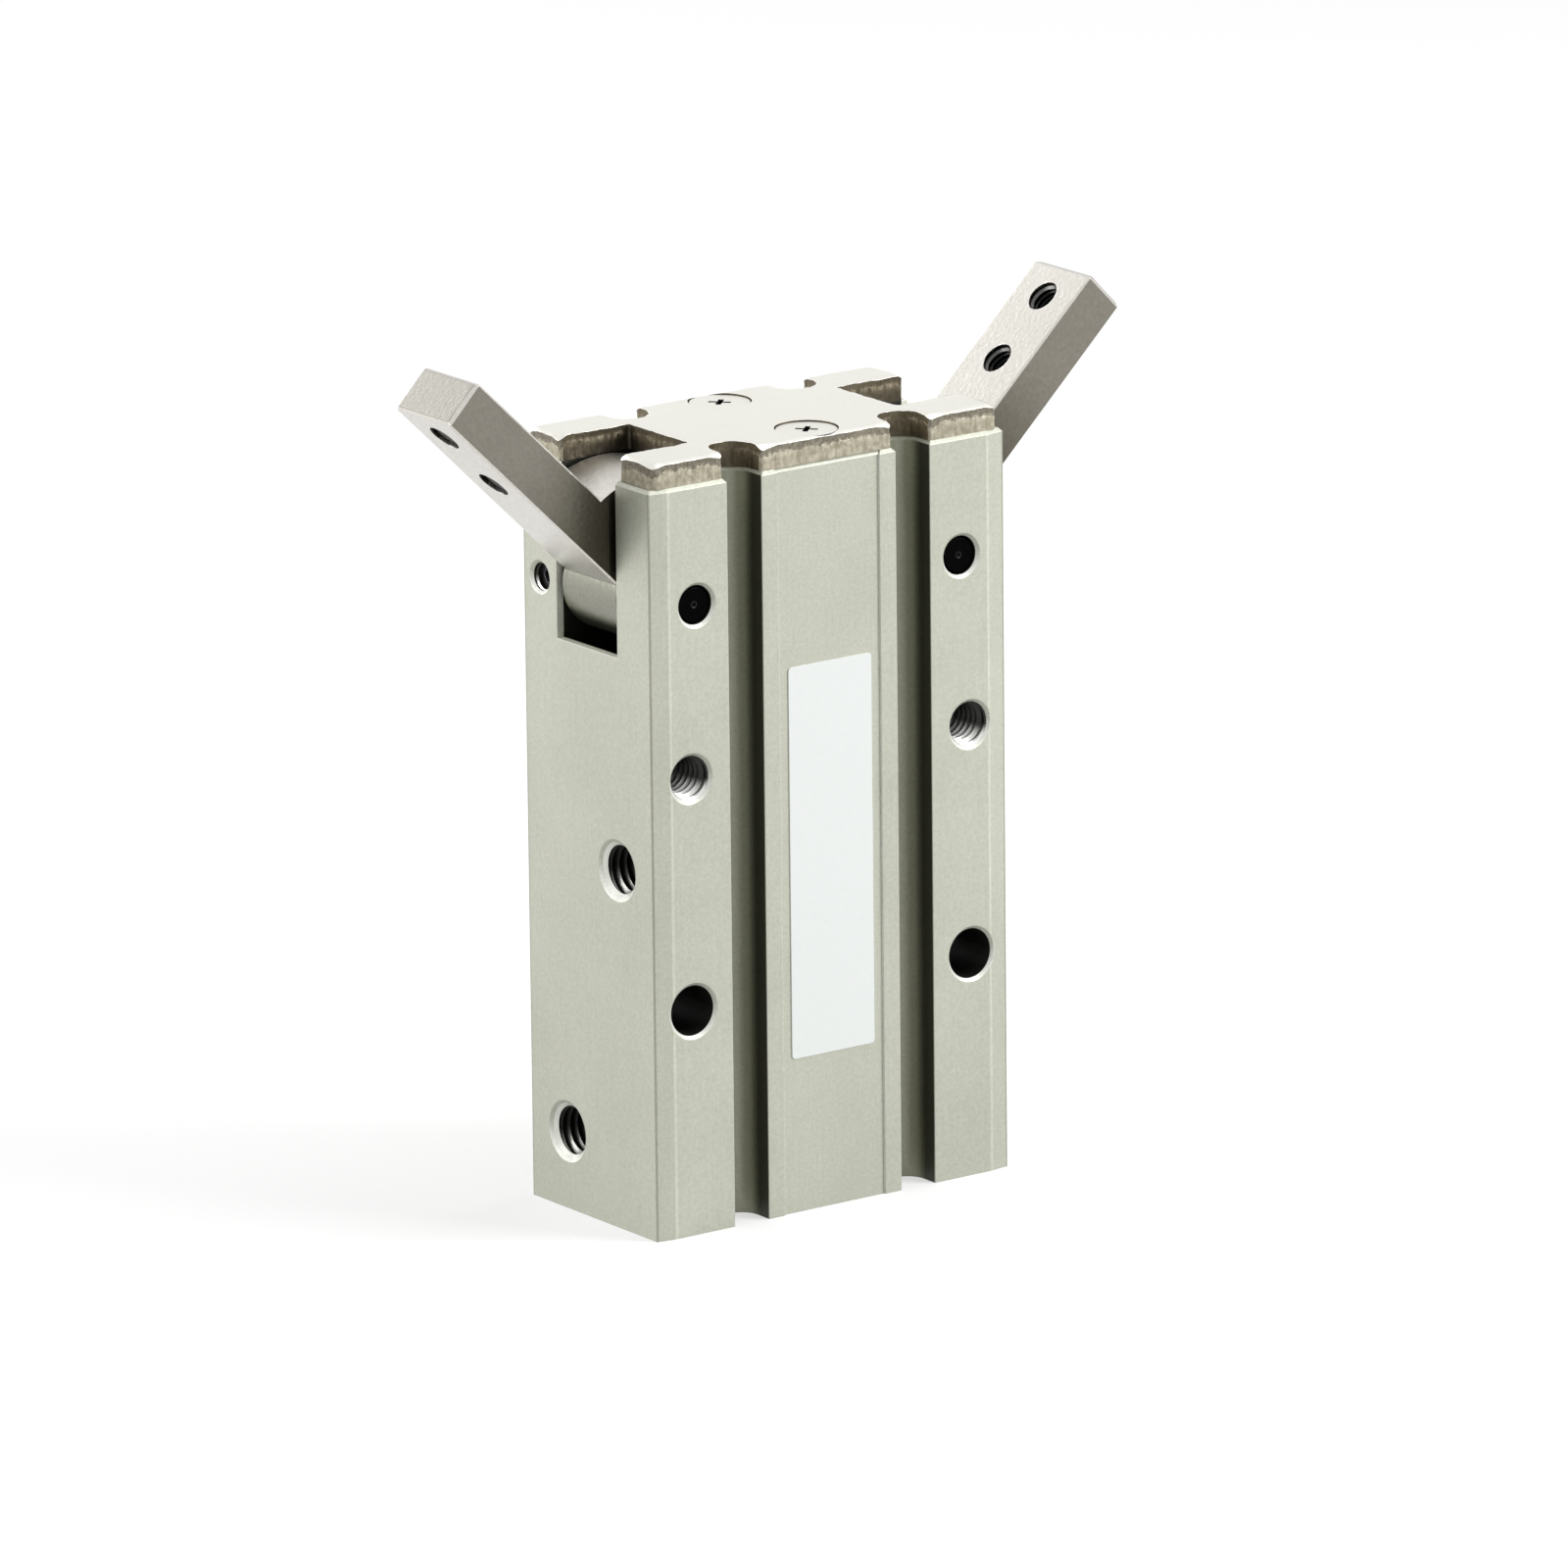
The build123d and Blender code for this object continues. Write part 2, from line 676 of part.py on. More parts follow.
# The cap screw that holds the piston on the rod
with BuildPart() as rod_bolt:
    with BuildSketch(Plane.XY.offset(piston_bottom)) as bolt_head:
        Circle(bolt_head_radius)
        RegularPolygon(rod_bolt_socket / 2, 6, major_radius=False, mode=Mode.SUBTRACT)
    extrude(amount=rod_bolt_head_height / 2)
    with BuildSketch(Plane.XY.offset(head_top - rod_bolt_head_height / 2)) as bolt_neck:
        Circle(bolt_head_radius)
    extrude(amount=rod_bolt_head_height / 2)
    with BuildSketch(Plane.XY.offset(head_top)) as bolt_shank:
        Circle(bolt_radius)
    extrude(amount=rod_bolt_length)
label_and_save(rod_bolt, "rod_bolt")

# Rod cover with its seals, held in the bore by a retaining ring
cover_radius = bore_radius - fit_gap
o_ring_floor = bore_radius - o_ring_section
cover_groove = rod_cover_bottom + (rod_cover_thickness - o_ring_section) / 4
rod_hole_radius = rod_radius + running_gap
rod_seal_outer = rod_radius + rod_seal_width
turned(
    "rod_cover",
    [
        (rod_hole_radius, upper_stop),
        (cover_stop_diameter / 2, upper_stop),
        (cover_stop_diameter / 2, rod_cover_bottom),
        (cover_radius, rod_cover_bottom),
        (cover_radius, cover_groove),
        (o_ring_floor, cover_groove),
        (o_ring_floor, cover_groove + o_ring_section),
        (cover_radius, cover_groove + o_ring_section),
        (cover_radius, rod_cover_top),
        (rod_seal_outer, rod_cover_top),
        (rod_seal_outer, rod_cover_top - rod_seal_height),
        (rod_hole_radius, rod_cover_top - rod_seal_height),
    ],
)
o_ring("rod_cover_o_ring", cover_groove + o_ring_section / 2)
turned(
    "rod_seal",
    [
        (rod_radius + fit_gap, rod_cover_top - rod_seal_height),
        (rod_seal_outer, rod_cover_top - rod_seal_height),
        (rod_seal_outer, rod_cover_top),
        (rod_radius + rod_seal_width / 2, rod_cover_top),
        (rod_radius + rod_seal_width / 2, rod_cover_top - rod_seal_height / 2),
        (rod_radius + fit_gap, rod_cover_top - rod_seal_height / 4),
    ],
)
retaining_ring("rod_cover_ring", clip_bottom, clip_thickness)

# End cap at the foot of the bore, with its seal and retaining ring
cap_groove = cap_bottom + (cap_thickness - o_ring_section) / 2
turned(
    "end_cap",
    [
        (0, cap_bottom),
        (cover_radius, cap_bottom),
        (cover_radius, cap_groove),
        (o_ring_floor, cap_groove),
        (o_ring_floor, cap_groove + o_ring_section),
        (cover_radius, cap_groove + o_ring_section),
        (cover_radius, cap_top),
        (cap_stop_diameter / 2, cap_top),
        (cap_stop_diameter / 2, lower_stop),
        (0, lower_stop),
    ],
)
o_ring("end_cap_o_ring", cap_groove + o_ring_section / 2)
retaining_ring("end_cap_ring", cap_ring_inset, cap_ring_thickness)
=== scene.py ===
import json
from math import cos, pi, radians, sin, tan

import bpy
import numpy as np
from mathutils import Matrix, Vector
from mathutils.geometry import delaunay_2d_cdt


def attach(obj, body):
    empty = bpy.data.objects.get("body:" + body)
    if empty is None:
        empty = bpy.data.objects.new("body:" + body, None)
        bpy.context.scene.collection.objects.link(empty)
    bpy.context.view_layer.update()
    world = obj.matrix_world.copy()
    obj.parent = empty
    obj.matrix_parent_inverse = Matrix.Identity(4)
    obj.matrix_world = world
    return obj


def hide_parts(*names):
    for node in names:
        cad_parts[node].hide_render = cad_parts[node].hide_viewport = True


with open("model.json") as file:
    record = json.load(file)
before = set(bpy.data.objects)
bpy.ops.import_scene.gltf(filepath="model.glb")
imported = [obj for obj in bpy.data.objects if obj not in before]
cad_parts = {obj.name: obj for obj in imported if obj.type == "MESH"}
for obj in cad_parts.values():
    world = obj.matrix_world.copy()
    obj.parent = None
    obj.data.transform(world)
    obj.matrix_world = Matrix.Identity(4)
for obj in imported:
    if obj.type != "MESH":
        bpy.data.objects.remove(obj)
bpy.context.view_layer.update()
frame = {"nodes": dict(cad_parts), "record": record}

# Sizes of the gripper, in millimetres, as its solids have them
MM = 0.001
HALF_WIDTH = 19.0
HALF_DEPTH = 9.6
BODY_HEIGHT = 67.0
PLATE_TOP = 69.3
MOUTH_CHAMFER = 0.28
BEVEL_WIDTH = 1.9
BEVEL_DEPTH = 0.3
GROOVE_X = 9.02
GROOVE_CENTRE = 7.85
GROOVE_RADIUS = 1.85
GROOVE_FLOOR_Y = 6.0
SLOT_HALF = 4.5
SLOT_MOUTH = 0.72
CAVITY_LOW = 40.0
PLATE_HALF_LENGTH = 18.5
PLATE_HALF_DEPTH = 9.3
PLATE_NOTCH_RADIUS = 2.0
PLATE_SLOT_END = 11.1
PLATE_SLOT_HALF = 4.4
SCREW_Y = 6.4
SCREW_SINK = 0.12
SCREW_HEAD_RADIUS = 2.7
PIVOT_X = 14.2
PIVOT_Z = 56.3
REST_ANGLE = 46.0
FINGER_INNER = 2.45
FINGER_THICKNESS = 4.5
FINGER_HOLES = (25.0, 18.0)
HUB_RADIUS = 4.5
FINGER_REACH = 28.3
PIN_DIMPLE_RADIUS = 0.25
PIVOT_PIN_RADIUS = 1.75
MOUNT_X = 15.0
TAPPED_Z = 40.997
CLEAR_Z = 20.2
CLEAR_RADIUS = 2.25
BASE_HOLE_X = 12.5
BASE_HOLE_DEPTH = 8.0
PORT_Y = 4.0
UPPER_PORT_Z = 32.297
LOWER_PORT_Z = 7.0
PORT_DEPTH = 5.0
PANEL_HALF = 5.45
SET_SCREW_Y = 7.0
SET_SCREW_TOP = 17.95

# Threads: nominal radius, pitch and ridge height
THREADS = {
    "m2_5": (1.25, 0.45, 0.22),
    "m3": (1.5, 0.5, 0.25),
    "m4": (2.0, 0.7, 0.36),
    "m5": (2.5, 0.8, 0.42),
}

# Holes of the body: the axis that they are set off along, how far, their height
# and their radius
TAPPED_SIDE_HOLE = ("X", MOUNT_X, TAPPED_Z, THREADS["m4"][0])
BODY_HOLES = (
    TAPPED_SIDE_HOLE,
    ("X", MOUNT_X, CLEAR_Z, CLEAR_RADIUS),
    ("X", PIVOT_X, PIVOT_Z, PIVOT_PIN_RADIUS),
    ("Y", SET_SCREW_Y, PIVOT_Z, THREADS["m2_5"][0]),
    ("Y", PORT_Y, UPPER_PORT_Z, THREADS["m5"][0]),
    ("Y", PORT_Y, LOWER_PORT_Z, THREADS["m5"][0]),
)

# The view of the photograph
IMAGE_SIZE = 1600
SENSOR_WIDTH = 36.0
FOCAL_PIXELS = 15009.3
CAMERA_AZIMUTH = 35.978
CAMERA_ELEVATION = 14.886
CAMERA_ROLL = -0.604
CAMERA_DISTANCE = 1285.56
LOOK_HEIGHT = 33.5
LOOK_PIXEL = (782.83, 829.06)


def make_camera():
    """A camera that puts the middle of the body on its pixel in the photograph."""
    azimuth = radians(CAMERA_AZIMUTH)
    elevation = radians(CAMERA_ELEVATION)
    back = Vector(
        (-sin(azimuth) * cos(elevation), -cos(azimuth) * cos(elevation), sin(elevation))
    )
    level_right = Vector((cos(azimuth), -sin(azimuth), 0))
    level_up = back.cross(level_right)
    roll = radians(CAMERA_ROLL)
    right = level_right * cos(roll) + level_up * sin(roll)
    up = level_up * cos(roll) - level_right * sin(roll)
    millimetres_per_pixel = CAMERA_DISTANCE / FOCAL_PIXELS
    across = (LOOK_PIXEL[0] - IMAGE_SIZE / 2) * millimetres_per_pixel
    above = (IMAGE_SIZE / 2 - LOOK_PIXEL[1]) * millimetres_per_pixel
    look_point = Vector((0, 0, LOOK_HEIGHT))
    place = look_point - right * across - up * above + back * CAMERA_DISTANCE
    data = bpy.data.cameras.new("photo_camera")
    data.sensor_width = SENSOR_WIDTH
    data.lens = FOCAL_PIXELS / IMAGE_SIZE * SENSOR_WIDTH
    data.clip_start = 0.05
    data.clip_end = 20
    camera = bpy.data.objects.new("photo_camera", data)
    turn = Matrix((right, up, back)).transposed().to_4x4()
    camera.matrix_world = Matrix.Translation(place * MM) @ turn
    bpy.context.scene.collection.objects.link(camera)
    bpy.context.scene.camera = camera


# Stage: floor, light and sky
FLOOR_RADIUS = 4.0
FLOOR_COLOUR = (0.44, 0.44, 0.44, 1)
FLOOR_GLOW = 0.58
SKY_LIGHT = 0.30


def seen_by_eye_or_mirror(tree):
    """A value of 1 for rays of the camera, of reflections and through glass, else 0."""
    seen = tree.nodes.new("ShaderNodeLightPath").outputs
    either = math_node(tree, "MAXIMUM", seen["Is Camera Ray"], seen["Is Glossy Ray"])
    return math_node(tree, "MAXIMUM", either, seen["Is Transmission Ray"])


def make_floor():
    """A round pale floor that keeps the object's shadow and looks white around it."""
    material = bpy.data.materials.new("pale_floor")
    material.use_nodes = True
    tree = material.node_tree
    tree.nodes.clear()
    diffuse = tree.nodes.new("ShaderNodeBsdfDiffuse")
    diffuse.inputs["Color"].default_value = FLOOR_COLOUR
    glow = tree.nodes.new("ShaderNodeEmission")
    strength = math_node(tree, "MULTIPLY", seen_by_eye_or_mirror(tree), FLOOR_GLOW)
    tree.links.new(strength, glow.inputs["Strength"])
    together = tree.nodes.new("ShaderNodeAddShader")
    tree.links.new(diffuse.outputs[0], together.inputs[0])
    tree.links.new(glow.outputs[0], together.inputs[1])
    output = tree.nodes.new("ShaderNodeOutputMaterial")
    tree.links.new(together.outputs[0], output.inputs["Surface"])
    bpy.ops.mesh.primitive_circle_add(vertices=96, radius=FLOOR_RADIUS, fill_type="NGON")
    floor = bpy.context.object
    floor.name = "floor"
    floor.data.materials.append(material)


def make_sky():
    """Even light from all round, and plain white where the camera or metal shows it."""
    world = bpy.data.worlds.new("studio")
    bpy.context.scene.world = world
    world.use_nodes = True
    tree = world.node_tree
    background = tree.nodes["Background"]
    background.inputs["Color"].default_value = (1, 1, 1, 1)
    strength = tree.nodes.new("ShaderNodeMapRange")
    strength.inputs["To Min"].default_value = SKY_LIGHT
    strength.inputs["To Max"].default_value = 1.0
    tree.links.new(seen_by_eye_or_mirror(tree), strength.inputs["Value"])
    tree.links.new(strength.outputs[0], background.inputs["Strength"])


def make_softbox(name, direction, distance, size, level):
    """A square soft lamp that faces the object. Level is the light that it gives a
    surface turned to it, where 1 renders a colour as written."""
    data = bpy.data.lights.new(name, "AREA")
    data.shape = "SQUARE"
    data.size = size
    data.energy = level * pi**2 * distance**2
    lamp = bpy.data.objects.new(name, data)
    outward = Vector(direction).normalized()
    lamp.location = Vector((0, 0, LOOK_HEIGHT * MM)) + outward * distance
    lamp.rotation_euler = outward.to_track_quat("Z", "Y").to_euler()
    bpy.context.scene.collection.objects.link(lamp)


def make_lights():
    """Large lights behind and above, one at the back left for the left side, and
    one at the front right for the front."""
    make_softbox("back_softbox", (0.02, 0.96, 0.28), distance=0.9, size=0.5, level=0.22)
    make_softbox("top_softbox", (0.45, -0.12, 0.88), distance=0.8, size=0.45, level=0.34)
    make_softbox("left_softbox", (-0.90, 0.42, 0.40), distance=0.8, size=0.5, level=0.71)
    make_softbox("front_softbox", (0.66, -0.70, 0.48), distance=0.8, size=0.4, level=0.86)


# Finishes
def shader_group(name, inputs, outputs):
    """An empty node group with these sockets, and its input and output nodes."""
    group = bpy.data.node_groups.new(name, "ShaderNodeTree")
    for label, kind, value in inputs:
        socket = group.interface.new_socket(name=label, in_out="INPUT", socket_type=kind)
        socket.default_value = value
    for label, kind in outputs:
        group.interface.new_socket(name=label, in_out="OUTPUT", socket_type=kind)
    return group, group.nodes.new("NodeGroupInput"), group.nodes.new("NodeGroupOutput")


def math_node(tree, operation, first, second):
    """A Math node; each operand is a socket to link or a plain number."""
    node = tree.nodes.new("ShaderNodeMath")
    node.operation = operation
    for place, value in enumerate((first, second)):
        if isinstance(value, (int, float)):
            node.inputs[place].default_value = value
        else:
            tree.links.new(value, node.inputs[place])
    return node.outputs[0]


def mix_colour(tree, factor, first, second):
    """A colour Mix node; factor and both colours are sockets."""
    node = tree.nodes.new("ShaderNodeMix")
    node.data_type = "RGBA"
    tree.links.new(factor, node.inputs["Factor"])
    tree.links.new(first, node.inputs["A"])
    tree.links.new(second, node.inputs["B"])
    return node.outputs["Result"]


def lay_over(tree, factor, below, colour, blend_type="MIX"):
    """A colour Mix node that lays a fixed colour over a linked one."""
    node = tree.nodes.new("ShaderNodeMix")
    node.data_type = "RGBA"
    node.blend_type = blend_type
    node.inputs["B"].default_value = (*colour, 1)
    tree.links.new(factor, node.inputs["Factor"])
    tree.links.new(below, node.inputs["A"])
    return node.outputs["Result"]


def group_node(tree, group, settings):
    """A node of a group, with these values on its sockets."""
    node = tree.nodes.new("ShaderNodeGroup")
    node.node_tree = group
    for socket, value in settings.items():
        node.inputs[socket].default_value = value
    return node


def noise(tree, place, scale, detail):
    """A Noise Texture read at a place; scale is a socket or a number."""
    node = tree.nodes.new("ShaderNodeTexNoise")
    node.inputs["Detail"].default_value = detail
    tree.links.new(place, node.inputs["Vector"])
    if isinstance(scale, (int, float)):
        node.inputs["Scale"].default_value = scale
    else:
        tree.links.new(scale, node.inputs["Scale"])
    return node.outputs["Fac"]


CLOUDS_PER_METRE = 90
STREAKS_PER_METRE = 5000
STREAK_STRETCH = 0.02
CLOUD_SHARE = 0.6
GRAIN_CENTRE = 0.55


def make_grain_group():
    """Grain: a fine mottle of two colours with slow clouds and long streaks, a
    roughness that wanders with it, and its height for a bump."""
    group, given, result = shader_group(
        "grain",
        [
            ("Colour", "NodeSocketColor", (0.5, 0.5, 0.5, 1)),
            ("Mottle Colour", "NodeSocketColor", (0.4, 0.4, 0.4, 1)),
            ("Mottle", "NodeSocketFloat", 0.5),
            ("Grains per Metre", "NodeSocketFloat", 6000.0),
            ("Streak", "NodeSocketFloat", 0.2),
            ("Roughness", "NodeSocketFloat", 0.4),
            ("Roughness Spread", "NodeSocketFloat", 0.1),
        ],
        [
            ("Colour", "NodeSocketColor"),
            ("Roughness", "NodeSocketFloat"),
            ("Height", "NodeSocketFloat"),
        ],
    )
    place = group.nodes.new("ShaderNodeTexCoord").outputs["Object"]
    fine = noise(group, place, given.outputs["Grains per Metre"], 3)
    clouds = noise(group, place, CLOUDS_PER_METRE, 2)
    stretched = group.nodes.new("ShaderNodeMapping")
    stretched.inputs["Scale"].default_value = (1, 1, STREAK_STRETCH)
    group.links.new(place, stretched.inputs["Vector"])
    streaks = noise(group, stretched.outputs[0], STREAKS_PER_METRE, 2)
    streak_part = math_node(group, "MULTIPLY", streaks, given.outputs["Streak"])
    body = math_node(group, "MULTIPLY_ADD", fine, 1.0)
    group.links.new(streak_part, body.node.inputs[2])
    both = math_node(group, "MULTIPLY_ADD", clouds, CLOUD_SHARE)
    group.links.new(body, both.node.inputs[2])
    centred = math_node(group, "SUBTRACT", both, GRAIN_CENTRE)
    factor = math_node(group, "MULTIPLY", centred, given.outputs["Mottle"])
    factor.node.use_clamp = True
    colour = mix_colour(group, factor, given.outputs["Colour"], given.outputs["Mottle Colour"])
    group.links.new(colour, result.inputs["Colour"])
    swing = math_node(group, "SUBTRACT", fine, 0.5)
    rough = math_node(group, "MULTIPLY_ADD", swing, given.outputs["Roughness Spread"])
    group.links.new(given.outputs["Roughness"], rough.node.inputs[2])
    group.links.new(rough, result.inputs["Roughness"])
    group.links.new(body, result.inputs["Height"])
    return group


def make_edge_group():
    """Edge: the normal of a slightly rounded edge, and a mask of where it is."""
    group, given, result = shader_group(
        "edge",
        [("Radius", "NodeSocketFloat", 0.0002), ("Strength", "NodeSocketFloat", 1.0)],
        [("Mask", "NodeSocketFloat"), ("Normal", "NodeSocketVector")],
    )
    rounded = group.nodes.new("ShaderNodeBevel")
    rounded.samples = 6
    group.links.new(given.outputs["Radius"], rounded.inputs["Radius"])
    group.links.new(rounded.outputs[0], result.inputs["Normal"])
    surface = group.nodes.new("ShaderNodeNewGeometry")
    alike = group.nodes.new("ShaderNodeVectorMath")
    alike.operation = "DOT_PRODUCT"
    group.links.new(rounded.outputs[0], alike.inputs[0])
    group.links.new(surface.outputs["Normal"], alike.inputs[1])
    apart = math_node(group, "SUBTRACT", 1.0, alike.outputs["Value"])
    mask = math_node(group, "MULTIPLY", apart, given.outputs["Strength"])
    mask.node.use_clamp = True
    group.links.new(mask, result.inputs["Mask"])
    return group


def make_recess_shade_group(name, within_piece):
    """Recess shade: a mask that rises where a point sees little of the open air, as in
    a hole or a deep groove, so that a finish is darkened there as painted shade.
    Within_piece counts only the piece's own walls."""
    group, given, result = shader_group(
        name,
        [
            ("Reach", "NodeSocketFloat", 0.012),
            ("Open Share", "NodeSocketFloat", 0.5),
            ("Closed Share", "NodeSocketFloat", 0.25),
        ],
        [("Mask", "NodeSocketFloat")],
    )
    air = group.nodes.new("ShaderNodeAmbientOcclusion")
    air.samples = 8
    air.only_local = within_piece
    group.links.new(given.outputs["Reach"], air.inputs["Distance"])
    shade = group.nodes.new("ShaderNodeMapRange")
    shade.interpolation_type = "SMOOTHSTEP"
    group.links.new(air.outputs["AO"], shade.inputs["Value"])
    group.links.new(given.outputs["Open Share"], shade.inputs["From Min"])
    group.links.new(given.outputs["Closed Share"], shade.inputs["From Max"])
    group.links.new(shade.outputs["Result"], result.inputs["Mask"])
    return group


grain_group = make_grain_group()
edge_group = make_edge_group()
recess_shade_groups = {
    "any piece": make_recess_shade_group("recess", False),
    "own walls": make_recess_shade_group("own_recess_shade", True),
}


# Reach of the masks that paint shade and highlights on parts of a finish, in millimetres
MASK_MARGIN = 0.05
HUB_MARGIN = 0.06
ROOT_SHADE = (7.0, 21.0)
EAR_DROP = 1.0
GROOVE_SIDE_MARGIN = 0.03
GROOVE_MOUTH_MARGIN = 0.12
GROOVE_FLOOR_MARGIN = 0.1
GROOVE_WALL_SHADE = (6.6, 8.4)
CORNER_LINE_X = 0.16
CORNER_LINE_Y = 0.14
BEVEL_LINE_HALF = 0.13
BEVEL_FACE_MARGIN = 0.06
HOLE_SIDE_MARGIN = 0.04
HOLE_SHADE_START = MOUTH_CHAMFER + 0.02
HOLE_SHADE_DEPTH = 5.2
CHAMFER_SIDE_MARGIN = MOUTH_CHAMFER + 0.01
CHAMFER_START = 0.012
PANEL_STEP_HALF = 0.04
DIMPLE_MARGIN = 0.08

# Slopes at which the masks turn, as parts of a unit normal
SQUARE_ON = 0.95
MOSTLY_SIDEWAYS = 0.7
HALF_SIDEWAYS = 0.5
GROOVE_WALL_TURN = (0.75, 1.0)
CHAMFER_TURN = (-0.25, 0.35)
THREAD_TURN = (0.1, 0.5)


def smooth_range(tree, value, start, end):
    """0 up to the start value and 1 from the end value, with a smooth step between."""
    node = tree.nodes.new("ShaderNodeMapRange")
    node.interpolation_type = "SMOOTHSTEP"
    node.inputs["From Min"].default_value = start
    node.inputs["From Max"].default_value = end
    tree.links.new(value, node.inputs["Value"])
    return node.outputs["Result"]


def mirrored_parts(tree, output):
    """Object place or normal as X, Y and Z without their signs, as the gripper is
    the same on both sides."""
    parts = tree.nodes.new("ShaderNodeSeparateXYZ")
    plain = tree.nodes.new("ShaderNodeVectorMath")
    plain.operation = "ABSOLUTE"
    tree.links.new(tree.nodes.new("ShaderNodeTexCoord").outputs[output], plain.inputs[0])
    tree.links.new(plain.outputs[0], parts.inputs[0])
    return parts.outputs["X"], parts.outputs["Y"], parts.outputs["Z"]


def pivot_distance(tree):
    """Distance from the nearer finger pivot's axis, in millimetres."""
    x, _, z = mirrored_parts(tree, "Object")
    across = math_node(tree, "SUBTRACT", x, PIVOT_X * MM)
    above = math_node(tree, "SUBTRACT", z, PIVOT_Z * MM)
    squares = math_node(tree, "MULTIPLY_ADD", across, across)
    tree.links.new(math_node(tree, "MULTIPLY", above, above), squares.node.inputs[2])
    return math_node(tree, "DIVIDE", math_node(tree, "SQRT", squares, 0.0), MM)


def side_shade_mask(tree):
    """1 on faces square to the Y axis, along which the finger pivots lie, else 0. The
    fingers are darkened there as painted shade.
    """
    return math_node(tree, "GREATER_THAN", mirrored_parts(tree, "Normal")[1], SQUARE_ON)


def root_shade_mask(tree):
    """On the same faces, 1 at the pivot, falling to 0 half-way up the finger: painted
    shade, darker towards the pivot.
    """
    far = smooth_range(tree, pivot_distance(tree), *ROOT_SHADE)
    return math_node(tree, "MULTIPLY", side_shade_mask(tree), math_node(tree, "SUBTRACT", 1.0, far))


def hub_shade_mask(tree):
    """1 on the round hub that turns on the pivot pin, else 0. The hub, inside the slot,
    is darkened there as painted shade.
    """
    return math_node(tree, "LESS_THAN", pivot_distance(tree), HUB_RADIUS + HUB_MARGIN)


def ear_shade_mask(tree):
    """1 on the cam ears of a lever, beyond its hub and below its pivot, else 0. They are
    darkened there as painted shade of the cavity.
    """
    z = mirrored_parts(tree, "Object")[2]
    below = math_node(tree, "LESS_THAN", z, (PIVOT_Z - EAR_DROP) * MM)
    beyond_hub = math_node(tree, "GREATER_THAN", pivot_distance(tree), HUB_RADIUS + HUB_MARGIN)
    return math_node(tree, "MULTIPLY", below, beyond_hub)


def groove_shade_mask(tree):
    """1 inside the long grooves, else 0. The body is darkened there as painted shade."""
    x, y, _ = mirrored_parts(tree, "Object")
    from_middle = math_node(tree, "ABSOLUTE", math_node(tree, "SUBTRACT", x, GROOVE_X * MM), 0.0)
    within = math_node(tree, "LESS_THAN", from_middle, (GROOVE_RADIUS + GROOVE_SIDE_MARGIN) * MM)
    deep = math_node(tree, "LESS_THAN", y, (HALF_DEPTH - GROOVE_MOUTH_MARGIN) * MM)
    lowest = (GROOVE_FLOOR_Y - GROOVE_FLOOR_MARGIN) * MM
    beyond_bore = math_node(tree, "GREATER_THAN", y, lowest)
    return math_node(tree, "MULTIPLY", math_node(tree, "MULTIPLY", within, deep), beyond_bore)


def groove_wall_shade_mask(tree):
    """1 on the straight walls of the long grooves near their mouths, falling to 0
    on their floors. The body is darkened there nearly to black as painted shade."""
    walls = smooth_range(tree, mirrored_parts(tree, "Normal")[0], *GROOVE_WALL_TURN)
    low, high = GROOVE_WALL_SHADE
    shallow = smooth_range(tree, mirrored_parts(tree, "Object")[1], low * MM, high * MM)
    in_groove = math_node(tree, "MULTIPLY", groove_shade_mask(tree), shallow)
    return math_node(tree, "MULTIPLY", in_groove, walls)


def corner_shade_line_mask(tree):
    """1 in a narrow line down each corner of the extrusion, else 0: a line of painted shade."""
    x, y, _ = mirrored_parts(tree, "Object")
    outer = math_node(tree, "GREATER_THAN", x, (HALF_WIDTH - CORNER_LINE_X) * MM)
    nearest = (HALF_DEPTH - BEVEL_DEPTH - CORNER_LINE_Y) * MM
    at_corner = math_node(tree, "GREATER_THAN", y, nearest)
    return math_node(tree, "MULTIPLY", outer, at_corner)


def bevel_highlight_line_mask(tree):
    """1 in a narrow line where each corner bevel meets the front or back, else 0: a line
    of painted highlight.
    """
    x, y, _ = mirrored_parts(tree, "Object")
    from_line = math_node(tree, "SUBTRACT", x, (HALF_WIDTH - BEVEL_WIDTH) * MM)
    gap = math_node(tree, "ABSOLUTE", from_line, 0.0)
    near = math_node(tree, "LESS_THAN", gap, BEVEL_LINE_HALF * MM)
    on_face = math_node(tree, "GREATER_THAN", y, (HALF_DEPTH - BEVEL_FACE_MARGIN) * MM)
    return math_node(tree, "MULTIPLY", near, on_face)


def finger_end_shade_mask(tree):
    """1 on the flat end of a finger, else 0. The end is darkened there as painted shade."""
    return math_node(tree, "GREATER_THAN", pivot_distance(tree), FINGER_REACH - MASK_MARGIN)


def near_holes(tree, margin, first_depth, last_depth, holes=BODY_HOLES):
    """1 within the radius plus margin of a hole's axis, between two depths from the
    face that it opens in, else 0."""
    x, y, z = mirrored_parts(tree, "Object")
    total = 0.0
    for across_axis, across, height, radius in holes:
        along, half = (y, HALF_DEPTH) if across_axis == "X" else (x, HALF_WIDTH)
        sideways = math_node(tree, "SUBTRACT", x if across_axis == "X" else y, across * MM)
        above = math_node(tree, "SUBTRACT", z, height * MM)
        squares = math_node(tree, "MULTIPLY_ADD", sideways, sideways)
        tree.links.new(math_node(tree, "MULTIPLY", above, above), squares.node.inputs[2])
        near = math_node(tree, "LESS_THAN", squares, ((radius + margin) * MM) ** 2)
        deep = math_node(tree, "LESS_THAN", along, (half - first_depth) * MM)
        not_deeper = math_node(tree, "GREATER_THAN", along, (half - last_depth) * MM)
        found = math_node(tree, "MULTIPLY", near, math_node(tree, "MULTIPLY", deep, not_deeper))
        total = math_node(tree, "MAXIMUM", found, total)
    return total


